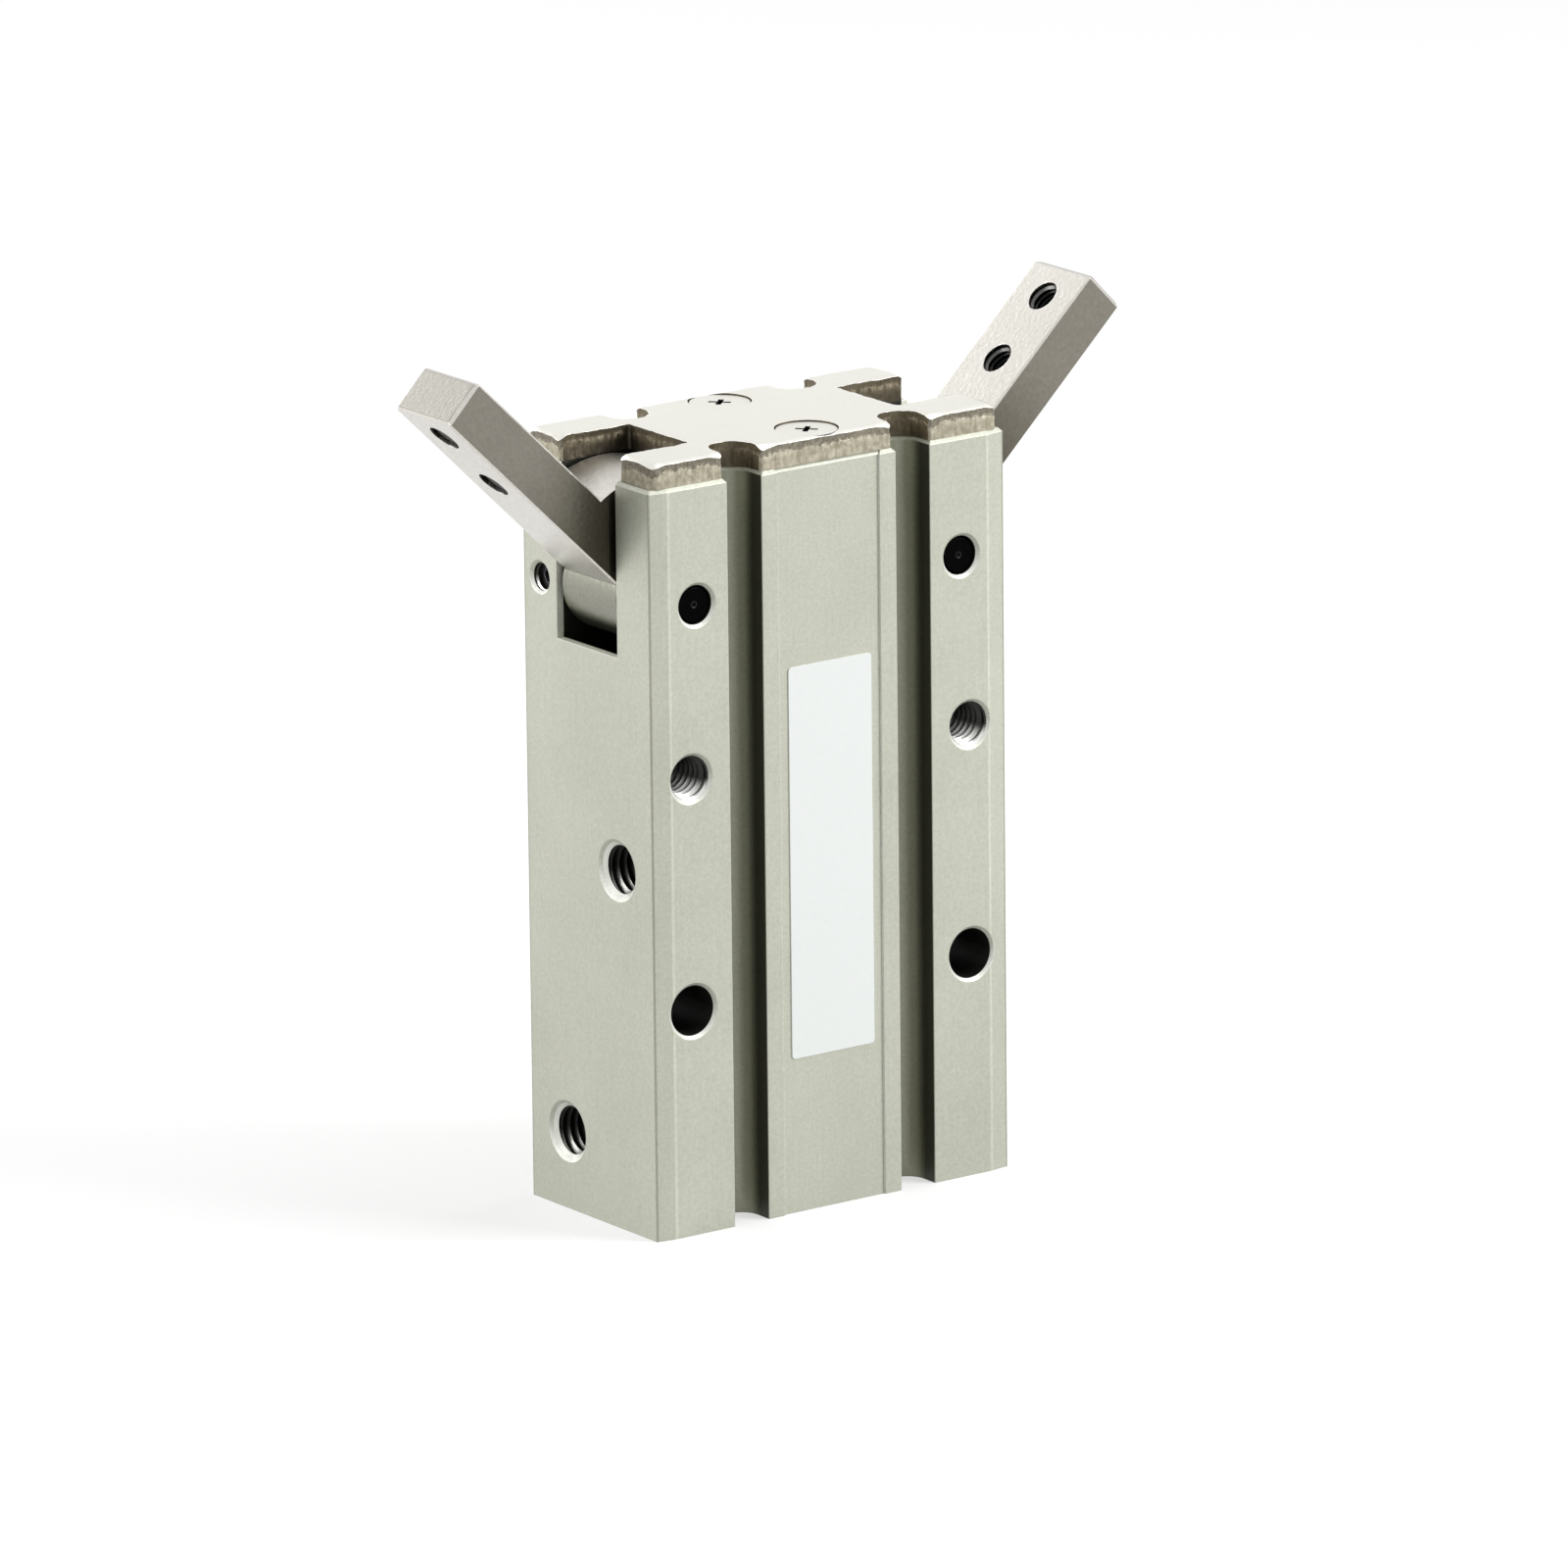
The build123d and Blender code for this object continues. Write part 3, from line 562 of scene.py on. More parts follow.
def hole_shade_mask(tree):
    """1 on the walls of the body's holes, behind their chamfered mouths, and 0
    elsewhere and where the threaded side holes face up. The walls are darkened nearly
    to black as painted shade, and the upward threads are left out as if lit from above."""
    reach = (HOLE_SIDE_MARGIN, HOLE_SHADE_START, HOLE_SHADE_DEPTH)
    walls = near_holes(tree, *reach)
    tapped = near_holes(tree, *reach, holes=(TAPPED_SIDE_HOLE,))
    lit = math_node(tree, "MULTIPLY", tapped, upward(tree, *THREAD_TURN))
    return math_node(tree, "SUBTRACT", walls, lit)


def chamfer_highlight_mask(tree):
    """1 on the parts of the holes' chamfered mouths that face up, else 0. They are
    lightened there as a painted highlight.
    """
    chamfers = near_holes(tree, CHAMFER_SIDE_MARGIN, CHAMFER_START, HOLE_SHADE_START)
    return math_node(tree, "MULTIPLY", chamfers, upward(tree, *CHAMFER_TURN))


def upward(tree, start, end):
    """0 on surfaces that face down, rising to 1 on those that face up."""
    parts = tree.nodes.new("ShaderNodeSeparateXYZ")
    tree.links.new(tree.nodes.new("ShaderNodeTexCoord").outputs["Normal"], parts.inputs[0])
    return smooth_range(tree, parts.outputs["Z"], start, end)


def not_upward_shade_mask(tree):
    """0 on surfaces that face up and 1 on the others, with a smooth step between.
    Threads are darkened where it is 1 as painted shade, as if lit only from above.
    """
    return math_node(tree, "SUBTRACT", 1.0, upward(tree, *THREAD_TURN))


def panel_step_highlight_mask(tree):
    """1 on the low steps at the sides of the front and back panels, else 0. They are
    lightened there as painted light.
    """
    x = mirrored_parts(tree, "Object")[0]
    from_step = math_node(tree, "ABSOLUTE", math_node(tree, "SUBTRACT", x, PANEL_HALF * MM), 0.0)
    near = math_node(tree, "LESS_THAN", from_step, PANEL_STEP_HALF * MM)
    sideways = math_node(tree, "GREATER_THAN", mirrored_parts(tree, "Normal")[0], MOSTLY_SIDEWAYS)
    return math_node(tree, "MULTIPLY", near, sideways)


def dimple_highlight_mask(tree):
    """1 in the centre mark of a pivot pin, else 0. The mark is lightened there as a
    painted highlight.
    """
    return math_node(tree, "LESS_THAN", pivot_distance(tree), PIN_DIMPLE_RADIUS + DIMPLE_MARGIN)


def slot_part(tree, side_of_mouth):
    """1 in the finger slots and the lever cavity between them, on one side of the
    line that divides the mouths from the cavity, else 0."""
    x, y, z = mirrored_parts(tree, "Object")
    between = math_node(tree, "LESS_THAN", y, (SLOT_HALF + MASK_MARGIN) * MM)
    high = math_node(tree, "GREATER_THAN", z, CAVITY_LOW * MM)
    on_side = math_node(tree, side_of_mouth, x, (HALF_WIDTH - SLOT_MOUTH) * MM)
    return math_node(tree, "MULTIPLY", math_node(tree, "MULTIPLY", between, high), on_side)


def mouth_highlight_mask(tree):
    """1 on the walls and floor of a finger slot within its mouth, else 0. The body is
    lightened there as painted light.
    """
    not_face = math_node(tree, "LESS_THAN", mirrored_parts(tree, "Normal")[0], HALF_SIDEWAYS)
    return math_node(tree, "MULTIPLY", slot_part(tree, "GREATER_THAN"), not_face)


def cavity_shade_mask(tree):
    """1 in the lever cavity, further in than its mouth, else 0. The body is darkened
    there nearly to black as painted shade.
    """
    return slot_part(tree, "LESS_THAN")


def make_finish(name, colour, mottle_colour, edge_highlight_colour, metallic, roughness, **details):
    """A worked surface: grain over its colour, edges lightened as a painted highlight, and a fine
    bump.
    Details are mottle, grains, streak, spread, bump, edge_radius, edge_strength,
    shades, which are masks with the colour that each multiplies by to paint shade or a
    highlight, and recess, the painted shade, which is the colour deep in holes, the open
    shares where it starts and is full, and the walls that count."""
    material = bpy.data.materials.new(name)
    material.use_nodes = True
    tree = material.node_tree
    shader = tree.nodes["Principled BSDF"]
    grain = group_node(
        tree,
        grain_group,
        {
            "Colour": (*colour, 1),
            "Mottle Colour": (*mottle_colour, 1),
            "Mottle": details.get("mottle", 1.0),
            "Grains per Metre": details.get("grains", 6000.0),
            "Streak": details.get("streak", 0.2),
            "Roughness": roughness,
            "Roughness Spread": details.get("spread", 0.12),
        },
    )
    edge = group_node(
        tree,
        edge_group,
        {
            "Radius": details.get("edge_radius", 0.15) * MM,
            "Strength": details.get("edge_strength", 3.0),
        },
    )
    # Painted highlight: rounded edges are lightened towards the edge colour.
    finished = lay_over(tree, edge.outputs["Mask"], grain.outputs["Colour"], edge_highlight_colour)
    # Painted shade and highlights: each mask multiplies the colour, below 1 to darken and above 1
    # to lighten.
    for mask, shade_colour in details.get("shades", ()):
        finished = lay_over(tree, mask(tree), finished, shade_colour, "MULTIPLY")
    # Painted shade: where little open air is seen, the colour goes to the deep colour.
    if "recess" in details:
        deep_shade_colour, open_share, closed_share, walls = details["recess"]
        shares = {"Open Share": open_share, "Closed Share": closed_share}
        recess = group_node(tree, recess_shade_groups[walls], shares)
        finished = lay_over(tree, recess.outputs["Mask"], finished, deep_shade_colour)
    tree.links.new(finished, shader.inputs["Base Color"])
    bump = tree.nodes.new("ShaderNodeBump")
    bump.inputs["Distance"].default_value = details.get("bump", 0.01) * MM
    tree.links.new(grain.outputs["Height"], bump.inputs["Height"])
    tree.links.new(edge.outputs["Normal"], bump.inputs["Normal"])
    tree.links.new(bump.outputs[0], shader.inputs["Normal"])
    tree.links.new(grain.outputs["Roughness"], shader.inputs["Roughness"])
    shader.inputs["Metallic"].default_value = metallic
    return material


FINISHES = {
    "anodised_body": make_finish(
        "anodised_body", (0.575, 0.585, 0.50), (0.43, 0.44, 0.36), (0.80, 0.80, 0.74), 0.35, 0.42,
        mottle=1.2, grains=3600.0, streak=0.3, bump=0.014, edge_radius=0.12, edge_strength=2.5,
        shades=[
            # Painted shade: the grooves darker inside.
            (groove_shade_mask, (0.80, 0.80, 0.73)),
            # Painted shade: the groove walls near their mouths nearly black.
            (groove_wall_shade_mask, (0.09, 0.09, 0.075)),
            # Painted shade: the lever cavity nearly black.
            (cavity_shade_mask, (0.03, 0.03, 0.025)),
            # Painted light: the walls and floor of the slot mouths lighter.
            (mouth_highlight_mask, (1.75, 1.75, 1.8)),
            # Painted shade: a dark line down each corner.
            (corner_shade_line_mask, (0.66, 0.66, 0.62)),
            # Painted highlight: a light line where each bevel meets the face.
            (bevel_highlight_line_mask, (1.2, 1.2, 1.2)),
            # Painted shade: the hole walls nearly black.
            (hole_shade_mask, (0.04, 0.04, 0.04)),
            # Painted highlight: the upward parts of the hole chamfers lighter.
            (chamfer_highlight_mask, (1.6, 1.6, 1.75)),
            # Painted light: the panel steps lighter.
            (panel_step_highlight_mask, (1.6, 1.6, 1.7)),
        ],
        recess=((0.006, 0.006, 0.004), 0.38, 0.14, "own walls"),
    ),
    "plated_plate": make_finish(
        "plated_plate", (0.78, 0.77, 0.71), (0.71, 0.695, 0.63), (0.84, 0.82, 0.78), 0.8, 0.36,
        grains=3500.0, streak=0.0, bump=0.006, edge_radius=0.1,
    ),
    "rolled_edge": make_finish(
        "rolled_edge", (0.36, 0.33, 0.26), (0.14, 0.125, 0.09), (0.5, 0.47, 0.4), 0.5, 0.4,
        mottle=1.6, grains=2600.0, streak=0.4, bump=0.05, edge_radius=0.08,
        recess=((0.022, 0.015, 0.009), 0.5, 0.25, "any piece"),
    ),
    "sheared_edge": make_finish(
        "sheared_edge", (0.61, 0.57, 0.455), (0.31, 0.28, 0.20), (0.66, 0.62, 0.52), 0.2, 0.5,
        mottle=1.7, grains=2000.0, streak=0.3, bump=0.07, edge_radius=0.05,
        recess=((0.03, 0.021, 0.012), 0.5, 0.25, "any piece"),
    ),
    # Painted shade: a darker copy of the edge finish for the plate's inner flanks and screw holes.
    "shaded_inner_edge": make_finish(
        "shaded_inner_edge", (0.22, 0.18, 0.115), (0.10, 0.08, 0.045), (0.35, 0.31, 0.24), 0.4, 0.45,
        mottle=1.4, grains=2600.0, streak=0.5, bump=0.05, edge_radius=0.05,
        recess=((0.010, 0.007, 0.004), 0.58, 0.3, "any piece"),
    ),
    "plated_screw": make_finish(
        "plated_screw", (0.78, 0.77, 0.71), (0.71, 0.695, 0.63), (0.84, 0.82, 0.78), 0.8, 0.34,
        grains=5000.0, streak=0.0, bump=0.005, edge_radius=0.05, edge_strength=1.5,
        recess=((0.012, 0.010, 0.008), 0.62, 0.36, "any piece"),
    ),
    "finger_steel": make_finish(
        "finger_steel", (0.66, 0.64, 0.595), (0.50, 0.48, 0.44), (0.76, 0.74, 0.70), 1.0, 0.32,
        mottle=1.3, grains=2600.0, streak=0.0, bump=0.03, edge_radius=0.1,
        shades=[
            # Painted shade: the finger's front and back faces darker.
            (side_shade_mask, (0.32, 0.31, 0.285)),
            # Painted shade: the finger sides darker towards the pivot.
            (root_shade_mask, (0.42, 0.41, 0.37)),
            # Painted shade: the hub darker.
            (hub_shade_mask, (0.43, 0.445, 0.40)),
            # Painted shade: the finger end darker.
            (finger_end_shade_mask, (0.66, 0.66, 0.64)),
            # Painted shade: the cam ears darker.
            (ear_shade_mask, (0.22, 0.22, 0.20)),
        ],
        recess=((0.004, 0.004, 0.004), 0.62, 0.36, "own walls"),
    ),
    "black_pin": make_finish(
        "black_pin", (0.001, 0.001, 0.001), (0.002, 0.002, 0.002), (0.02, 0.02, 0.02), 1.0, 0.36,
        streak=0.0, bump=0.006, edge_radius=0.06,
        # Painted highlight: the centre mark of the pin lighter.
        shades=[(dimple_highlight_mask, (9, 9, 9))],
    ),
    "label_film": make_finish(
        "label_film", (0.87, 0.90, 0.88), (0.83, 0.86, 0.84), (0.80, 0.80, 0.80), 0.0, 0.42,
        grains=2500.0, streak=0.0, bump=0.003, edge_radius=0.05, edge_strength=1.0,
    ),
    "screw_steel": make_finish(
        "screw_steel", (0.10, 0.10, 0.105), (0.06, 0.06, 0.062), (0.3, 0.3, 0.3), 0.8, 0.38,
        streak=0.0, bump=0.006, edge_radius=0.08,
    ),
    "ground_steel": make_finish(
        "ground_steel", (0.40, 0.40, 0.40), (0.33, 0.33, 0.33), (0.55, 0.55, 0.55), 0.95, 0.26,
        grains=8000.0, streak=0.4, bump=0.004, edge_radius=0.08,
    ),
    "crosshead_steel": make_finish(
        "crosshead_steel", (0.24, 0.235, 0.225), (0.18, 0.175, 0.17), (0.40, 0.40, 0.39), 0.9, 0.4,
        streak=0.0, bump=0.008, edge_radius=0.1,
    ),
    "turned_aluminium": make_finish(
        "turned_aluminium", (0.68, 0.68, 0.67), (0.58, 0.58, 0.57), (0.8, 0.8, 0.8), 0.9, 0.32,
        grains=5000.0, streak=0.0, bump=0.008, edge_radius=0.1,
    ),
    "magnet": make_finish(
        "magnet", (0.05, 0.05, 0.052), (0.08, 0.08, 0.08), (0.12, 0.12, 0.12), 0.1, 0.6,
        grains=4000.0, streak=0.0, bump=0.015,
    ),
    "seal_rubber": make_finish(
        "seal_rubber", (0.014, 0.014, 0.015), (0.022, 0.022, 0.022), (0.03, 0.03, 0.03), 0.0, 0.55,
        grains=3000.0, streak=0.0, bump=0.01,
    ),
    "spring_steel": make_finish(
        "spring_steel", (0.05, 0.05, 0.052), (0.08, 0.08, 0.08), (0.2, 0.2, 0.2), 0.7, 0.36,
        streak=0.0, bump=0.008, edge_radius=0.08,
    ),
    "cut_steel": make_finish(
        "cut_steel", (0.16, 0.155, 0.15), (0.10, 0.097, 0.09), (0.3, 0.3, 0.29), 0.9, 0.28,
        streak=0.0, bump=0.006, edge_radius=0.05,
        recess=((0.008, 0.008, 0.008), 0.7, 0.42, "any piece"),
    ),
    "cut_aluminium": make_finish(
        "cut_aluminium", (0.92, 0.92, 0.89), (0.82, 0.82, 0.79), (0.94, 0.94, 0.92), 0.7, 0.34,
        streak=0.0, bump=0.006, edge_radius=0.04,
        # Painted shade: threads dark except where they face up.
        shades=[(not_upward_shade_mask, (0.03, 0.03, 0.027))],
        recess=((0.012, 0.012, 0.011), 0.24, 0.08, "any piece"),
    ),
    "lead_in": make_finish(
        "lead_in", (0.80, 0.805, 0.74), (0.70, 0.705, 0.64), (0.88, 0.88, 0.84), 0.4, 0.38,
        streak=0.0, bump=0.006, edge_radius=0.04,
    ),
    # Painted shade: a darker copy of cut_aluminium for the threads of the air ports.
    "port_thread": make_finish(
        "port_thread", (0.40, 0.40, 0.37), (0.32, 0.32, 0.29), (0.5, 0.5, 0.47), 0.8, 0.34,
        streak=0.0, bump=0.006, edge_radius=0.04,
        # Painted shade: threads dark except where they face up.
        shades=[(not_upward_shade_mask, (0.03, 0.03, 0.027))],
        recess=((0.012, 0.012, 0.011), 0.45, 0.2, "any piece"),
    ),
}


def dress_cad_nodes():
    """Every solid keeps its mesh and takes the finish of its material slot."""
    for entry in frame["record"]["subparts"]:
        node = frame["nodes"][entry["node"]]
        node.data.materials.clear()
        node.data.materials.append(FINISHES[entry["material_slot"]])


# Meshes
def build_mesh(name, points, faces, smooth_angle):
    """A mesh object from points in millimetres, smooth up to an edge angle."""
    mesh = bpy.data.meshes.new(name)
    mesh.from_pydata((np.asarray(points, float) * MM).tolist(), [], faces)
    mesh.update()
    mesh.polygons.foreach_set("use_smooth", np.ones(len(mesh.polygons), bool))
    mesh.set_sharp_from_angle(angle=radians(smooth_angle))
    piece = bpy.data.objects.new(name, mesh)
    bpy.context.scene.collection.objects.link(piece)
    return piece


def grid_faces(rows, columns, wrap_columns=False):
    """Quads of a grid of points in row order. With wrap_columns the last column
    joins the first."""
    row = np.arange(rows - 1)[:, None]
    column = np.arange(columns if wrap_columns else columns - 1)[None, :]
    after = (column + 1) % columns
    corners = (
        row * columns + column,
        row * columns + after,
        (row + 1) * columns + after,
        (row + 1) * columns + column,
    )
    quads = [np.broadcast_to(corner, (rows - 1, column.size)) for corner in corners]
    return np.stack(quads, -1).reshape(-1, 4)


THREAD_START = 0.2
FINGER_THREAD_START = 0.1
THREAD_STEPS = 40
THREAD_SINK = 0.03
THREAD_SMOOTH_ANGLE = 30.0
RIDGE_FOOT = 0.46
RIDGE_CREST = 0.07
LEAST_SWELL = 0.02
LEAST_SECTION = 0.3
UPRIGHT = 0.9
SIDE_LEAD_IN = 0.4
PORT_LEAD_IN = 0.8
LEAD_IN_BACK = 0.15
LEAD_IN_STEPS = 64


def hole_frame(inward):
    """A hole's axis and two directions across it, square to each other."""
    axis = np.array(inward, float)
    first = np.cross(axis, (0, 0, 1) if abs(axis[2]) < UPRIGHT else (1, 0, 0))
    first /= np.linalg.norm(first)
    return axis, first, np.cross(axis, first)


def make_thread(name, kind, mouth, inward, length, body, finish):
    """The helical ridge of a tapped hole. A four-cornered ridge section is carried
    along a helix: at angle a and height h its point is at a radius less the ridge
    there, and it climbs one pitch a turn. Its height grows from nothing over the
    first and last half turn."""
    radius, pitch, ridge = THREADS[kind]
    turns = length / pitch - 1
    steps = int(turns * THREAD_STEPS)
    angle = np.linspace(0, 2 * pi * turns, steps + 1)
    swell = np.clip(np.minimum(angle, angle[-1] - angle) / pi, LEAST_SWELL, 1)
    along_section = np.array([-RIDGE_FOOT, -RIDGE_CREST, RIDGE_CREST, RIDGE_FOOT]) * pitch
    height_section = np.array([-THREAD_SINK, ridge, ridge, -THREAD_SINK])
    height = np.where(height_section > 0, height_section * swell[:, None], height_section)
    reach = radius - height
    section = along_section * np.maximum(swell, LEAST_SECTION)[:, None]
    climb = pitch / 2 + angle[:, None] * pitch / (2 * pi) + section
    axis, first, second = hole_frame(inward)
    points = (
        np.array(mouth, float)
        + (reach * np.cos(angle)[:, None])[..., None] * first
        + (reach * np.sin(angle)[:, None])[..., None] * second
        + climb[..., None] * axis
    )
    faces = grid_faces(steps + 1, 4, wrap_columns=True).tolist()
    last = steps * 4
    faces += [[0, 1, 2, 3], [last + 3, last + 2, last + 1, last]]
    piece = build_mesh(name, points.reshape(-1, 3), faces, THREAD_SMOOTH_ANGLE)
    piece.data.materials.append(finish)
    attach(piece, body)


def make_lead_in(name, kind, face_point, inward, share, finish):
    """The countersunk start of a thread: a three-cornered section turned about the
    hole's axis. From the chamfered mouth it narrows as a cone to a share of the
    thread's height, and then goes straight back to the wall."""
    radius, _, ridge = THREADS[kind]
    crest = share * ridge
    wall = radius + THREAD_SINK
    reach = np.array([wall, radius - crest, wall])[:, None]
    depth = MOUTH_CHAMFER + np.array([-THREAD_SINK, crest, crest + LEAD_IN_BACK])[:, None]
    angle = np.linspace(0, 2 * pi, LEAD_IN_STEPS, endpoint=False)
    axis, first, second = hole_frame(inward)
    points = (
        np.array(face_point, float)
        + (reach * np.cos(angle))[..., None] * first
        + (reach * np.sin(angle))[..., None] * second
        + (depth * np.ones(LEAD_IN_STEPS))[..., None] * axis
    )
    faces = grid_faces(4, LEAD_IN_STEPS, wrap_columns=True)[:, ::-1] % (3 * LEAD_IN_STEPS)
    piece = build_mesh(name, points.reshape(-1, 3), faces.tolist(), THREAD_SMOOTH_ANGLE)
    piece.data.materials.append(finish)
    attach(piece, "gripper_body")


def make_threads():
    """Threads of the side holes, air ports, base holes, set screws and fingers."""
    cut = FINISHES["cut_aluminium"]
    start = THREAD_START
    for side, side_name in ((-1, "left"), (1, "right")):
        make_thread(
            side_name + "_side_thread", "m4", (side * MOUNT_X, -HALF_DEPTH + start, TAPPED_Z),
            (0, 1, 0), 2 * (HALF_DEPTH - start), "gripper_body", cut,
        )
        for face_side, face in ((-1, "front"), (1, "back")):
            make_lead_in(
                f"{side_name}_side_lead_in_{face}", "m4",
                (side * MOUNT_X, face_side * HALF_DEPTH, TAPPED_Z), (0, -face_side, 0),
                SIDE_LEAD_IN, cut,
            )
        make_thread(
            side_name + "_base_thread", "m4", (side * BASE_HOLE_X, 0, start),
            (0, 0, 1), BASE_HOLE_DEPTH - 2 * start, "gripper_body", cut,
        )
        make_thread(
            side_name + "_set_screw_thread", "m2_5",
            (side * (HALF_WIDTH - start), SET_SCREW_Y, PIVOT_Z), (-side, 0, 0),
            HALF_WIDTH - start - SET_SCREW_TOP, "gripper_body", cut,
        )
        turn = radians(REST_ANGLE)
        outward = np.array((side * cos(turn), 0, -sin(turn)))
        along = np.array((side * sin(turn), 0, cos(turn)))
        pivot = np.array((side * PIVOT_X, 0, PIVOT_Z))
        for place, hole in zip(FINGER_HOLES, ("tip", "root")):
            mouth = pivot + along * place - outward * (FINGER_INNER - FINGER_THREAD_START)
            make_thread(
                f"{side_name}_finger_{hole}_thread", "m3", mouth, outward,
                FINGER_THICKNESS - 2 * FINGER_THREAD_START,
                side_name + "_lever", FINISHES["cut_steel"],
            )
    for port, port_y, port_z in (("upper", -PORT_Y, UPPER_PORT_Z), ("lower", PORT_Y, LOWER_PORT_Z)):
        make_thread(
            port + "_port_thread", "m5", (-HALF_WIDTH + start, port_y, port_z),
            (1, 0, 0), PORT_DEPTH - 2 * start, "gripper_body", FINISHES["port_thread"],
        )
        make_lead_in(
            port + "_port_lead_in", "m5", (-HALF_WIDTH, port_y, port_z), (1, 0, 0),
            PORT_LEAD_IN, FINISHES["lead_in"],
        )


# Top plate: a blanked plate with a rolled upper edge and a rough sheared flank
EDGE_STEP = 0.1
GRID_STEP = 0.3
GRID_MARGIN = 0.12
CLOSE_POINTS = 1e-7
ARC_PIECES = 4
SLOT_CORNER = 0.3
SLOT_END_CORNER = 0.45
OUTER_CORNER = 0.7
NOTCH_CORNER = 0.35
NOTCH_ROUND = PLATE_NOTCH_RADIUS - 0.01
SCREW_HOLE_RADIUS = SCREW_HEAD_RADIUS + SCREW_SINK
SCREW_HOLE_STEPS = 64
OUTER_BAND = 0.3
SOFTENING_POINTS = 9
ROLL_WIDTH = 1.0
ROLL_FALL = 0.22
ROLL_POWER = 2.2
CORNER_FALL = 0.30
CORNER_REACH = 0.9
INNER_ROLL_SHARE = 0.35
SLOW_FALL = 0.06
QUICK_FALL = 0.025
SHEAR_ROUGHNESS = 0.07
SPECK_SHARE = 0.35
RIPPLE_SHARE = 1.5
ROLLED_BAND = 0.72
WAVE_HEIGHT = 0.16
JAG_HEIGHT = 0.14
PLATE_SMOOTH_ANGLE = 35.0

# Rows of the flank from the body up: lean outwards, height and roughness. Height 0 is
# the body, 1 the top of the sheared band and 2 the upper edge.
FLANK_ROWS = (
    (0.0, 0.0, 0.0),
    (0.0, 0.25, 1.0),
    (0.0, 0.6, 1.0),
    (0.0, 1.0, 1.0),
    (-0.05, 1.12, 0.2),
    (-0.05, 1.5, 0.0),
    (-0.02, 2.0, 0.0),
)
SHEARED_BANDS = 3
PLATE_FINISHES = ("plated_plate", "rolled_edge", "sheared_edge", "shaded_inner_edge")
# INNER is the darker copy of the edge finish, painted shade, for inner flanks and screw holes.
PLAIN, ROLLED, SHEARED, INNER = range(4)


def rounded_path(corners, radii, step):
    """Points along a closed polygon whose corners are arcs of these radii, spaced
    about one step apart."""
    points = []
    count = len(corners)
    for index in range(count):
        corner = np.array(corners[index], float)
        before = np.array(corners[index - 1], float) - corner
        after = np.array(corners[(index + 1) % count], float) - corner
        before /= np.linalg.norm(before)
        after /= np.linalg.norm(after)
        opening = np.arccos(np.clip(before @ after, -1, 1))
        radius = radii[index]
        back_off = radius / tan(opening / 2)
        halfway = (before + after) / np.linalg.norm(before + after)
        middle = corner + halfway * radius / sin(opening / 2)
        start = corner + before * back_off - middle
        end = corner + after * back_off - middle
        sweep = pi - opening
        pieces = max(int(np.ceil(radius * sweep / step)), ARC_PIECES)
        share = np.linspace(0, 1, pieces + 1)[:, None]
        arc = (np.sin((1 - share) * sweep) * start + np.sin(share * sweep) * end) / sin(sweep)
        points.append(middle + arc)
    knots = np.vstack(points)
    onward = np.roll(knots, -1, axis=0)
    gaps = np.linalg.norm(onward - knots, axis=1)
    reach = np.concatenate([[0], np.cumsum(gaps)])
    total = int(reach[-1] / step)
    place = np.arange(total) * reach[-1] / total
    closed = np.vstack([knots, knots[:1]])
    x = np.interp(place, reach, closed[:, 0])
    y = np.interp(place, reach, closed[:, 1])
    return np.column_stack([x, y])


def plate_outline():
    """The top plate's outline, counter-clockwise: a rectangle with a slot at each
    end for the finger and a round-bottomed notch over each groove."""
    notch_sides = (GROOVE_X + PLATE_NOTCH_RADIUS, GROOVE_X - PLATE_NOTCH_RADIUS)
    notch_bottom = GROOVE_CENTRE - PLATE_NOTCH_RADIUS
    quarter = [
        ((PLATE_SLOT_END, PLATE_SLOT_HALF), SLOT_CORNER),
        ((PLATE_HALF_LENGTH, PLATE_SLOT_HALF), SLOT_END_CORNER),
        ((PLATE_HALF_LENGTH, PLATE_HALF_DEPTH), OUTER_CORNER),
        ((notch_sides[0], PLATE_HALF_DEPTH), NOTCH_CORNER),
        ((notch_sides[0], notch_bottom), NOTCH_ROUND),
        ((notch_sides[1], notch_bottom), NOTCH_ROUND),
        ((notch_sides[1], PLATE_HALF_DEPTH), NOTCH_CORNER),
    ]
    corners = []
    radii = []
    for mirror_x, mirror_y, order in ((1, 1, 1), (-1, 1, -1), (-1, -1, 1), (1, -1, -1)):
        for (x, y), radius in quarter[::order]:
            corners.append((mirror_x * x, mirror_y * y))
            radii.append(radius)
    return rounded_path(corners, radii, EDGE_STEP)


def wave(place, seed, terms=6, lowest=0.6, highest=4.0):
    """A smooth wander along an edge: a sum of sines with random lengths and phases."""
    rng = np.random.default_rng(seed)
    rates = rng.uniform(lowest, highest, terms)
    phases = rng.uniform(0, 2 * pi, terms)
    return np.sin(place[:, None] * rates + phases).sum(1) / terms


def inside_outline(points, outline):
    """Which points lie inside a closed outline: a ray from them along X crosses it an
    odd number of times."""
    onward = np.roll(outline, -1, axis=0)
    rise = onward[:, 1] - outline[:, 1]
    slope = (onward[:, 0] - outline[:, 0]) / np.where(rise == 0, 1, rise)
    spans = (outline[:, 1] > points[:, 1:]) != (onward[:, 1] > points[:, 1:])
    crossing = outline[:, 0] + (points[:, 1:] - outline[:, 1]) * slope
    return (spans & (points[:, :1] < crossing)).sum(1) % 2 == 1


def band_faces(rows):
    """Quads between rows of point numbers, each row a closed loop."""
    onward = np.roll(rows, -1, axis=1)
    return np.stack([rows[:-1], onward[:-1], onward[1:], rows[1:]], -1).reshape(-1, 4).tolist()


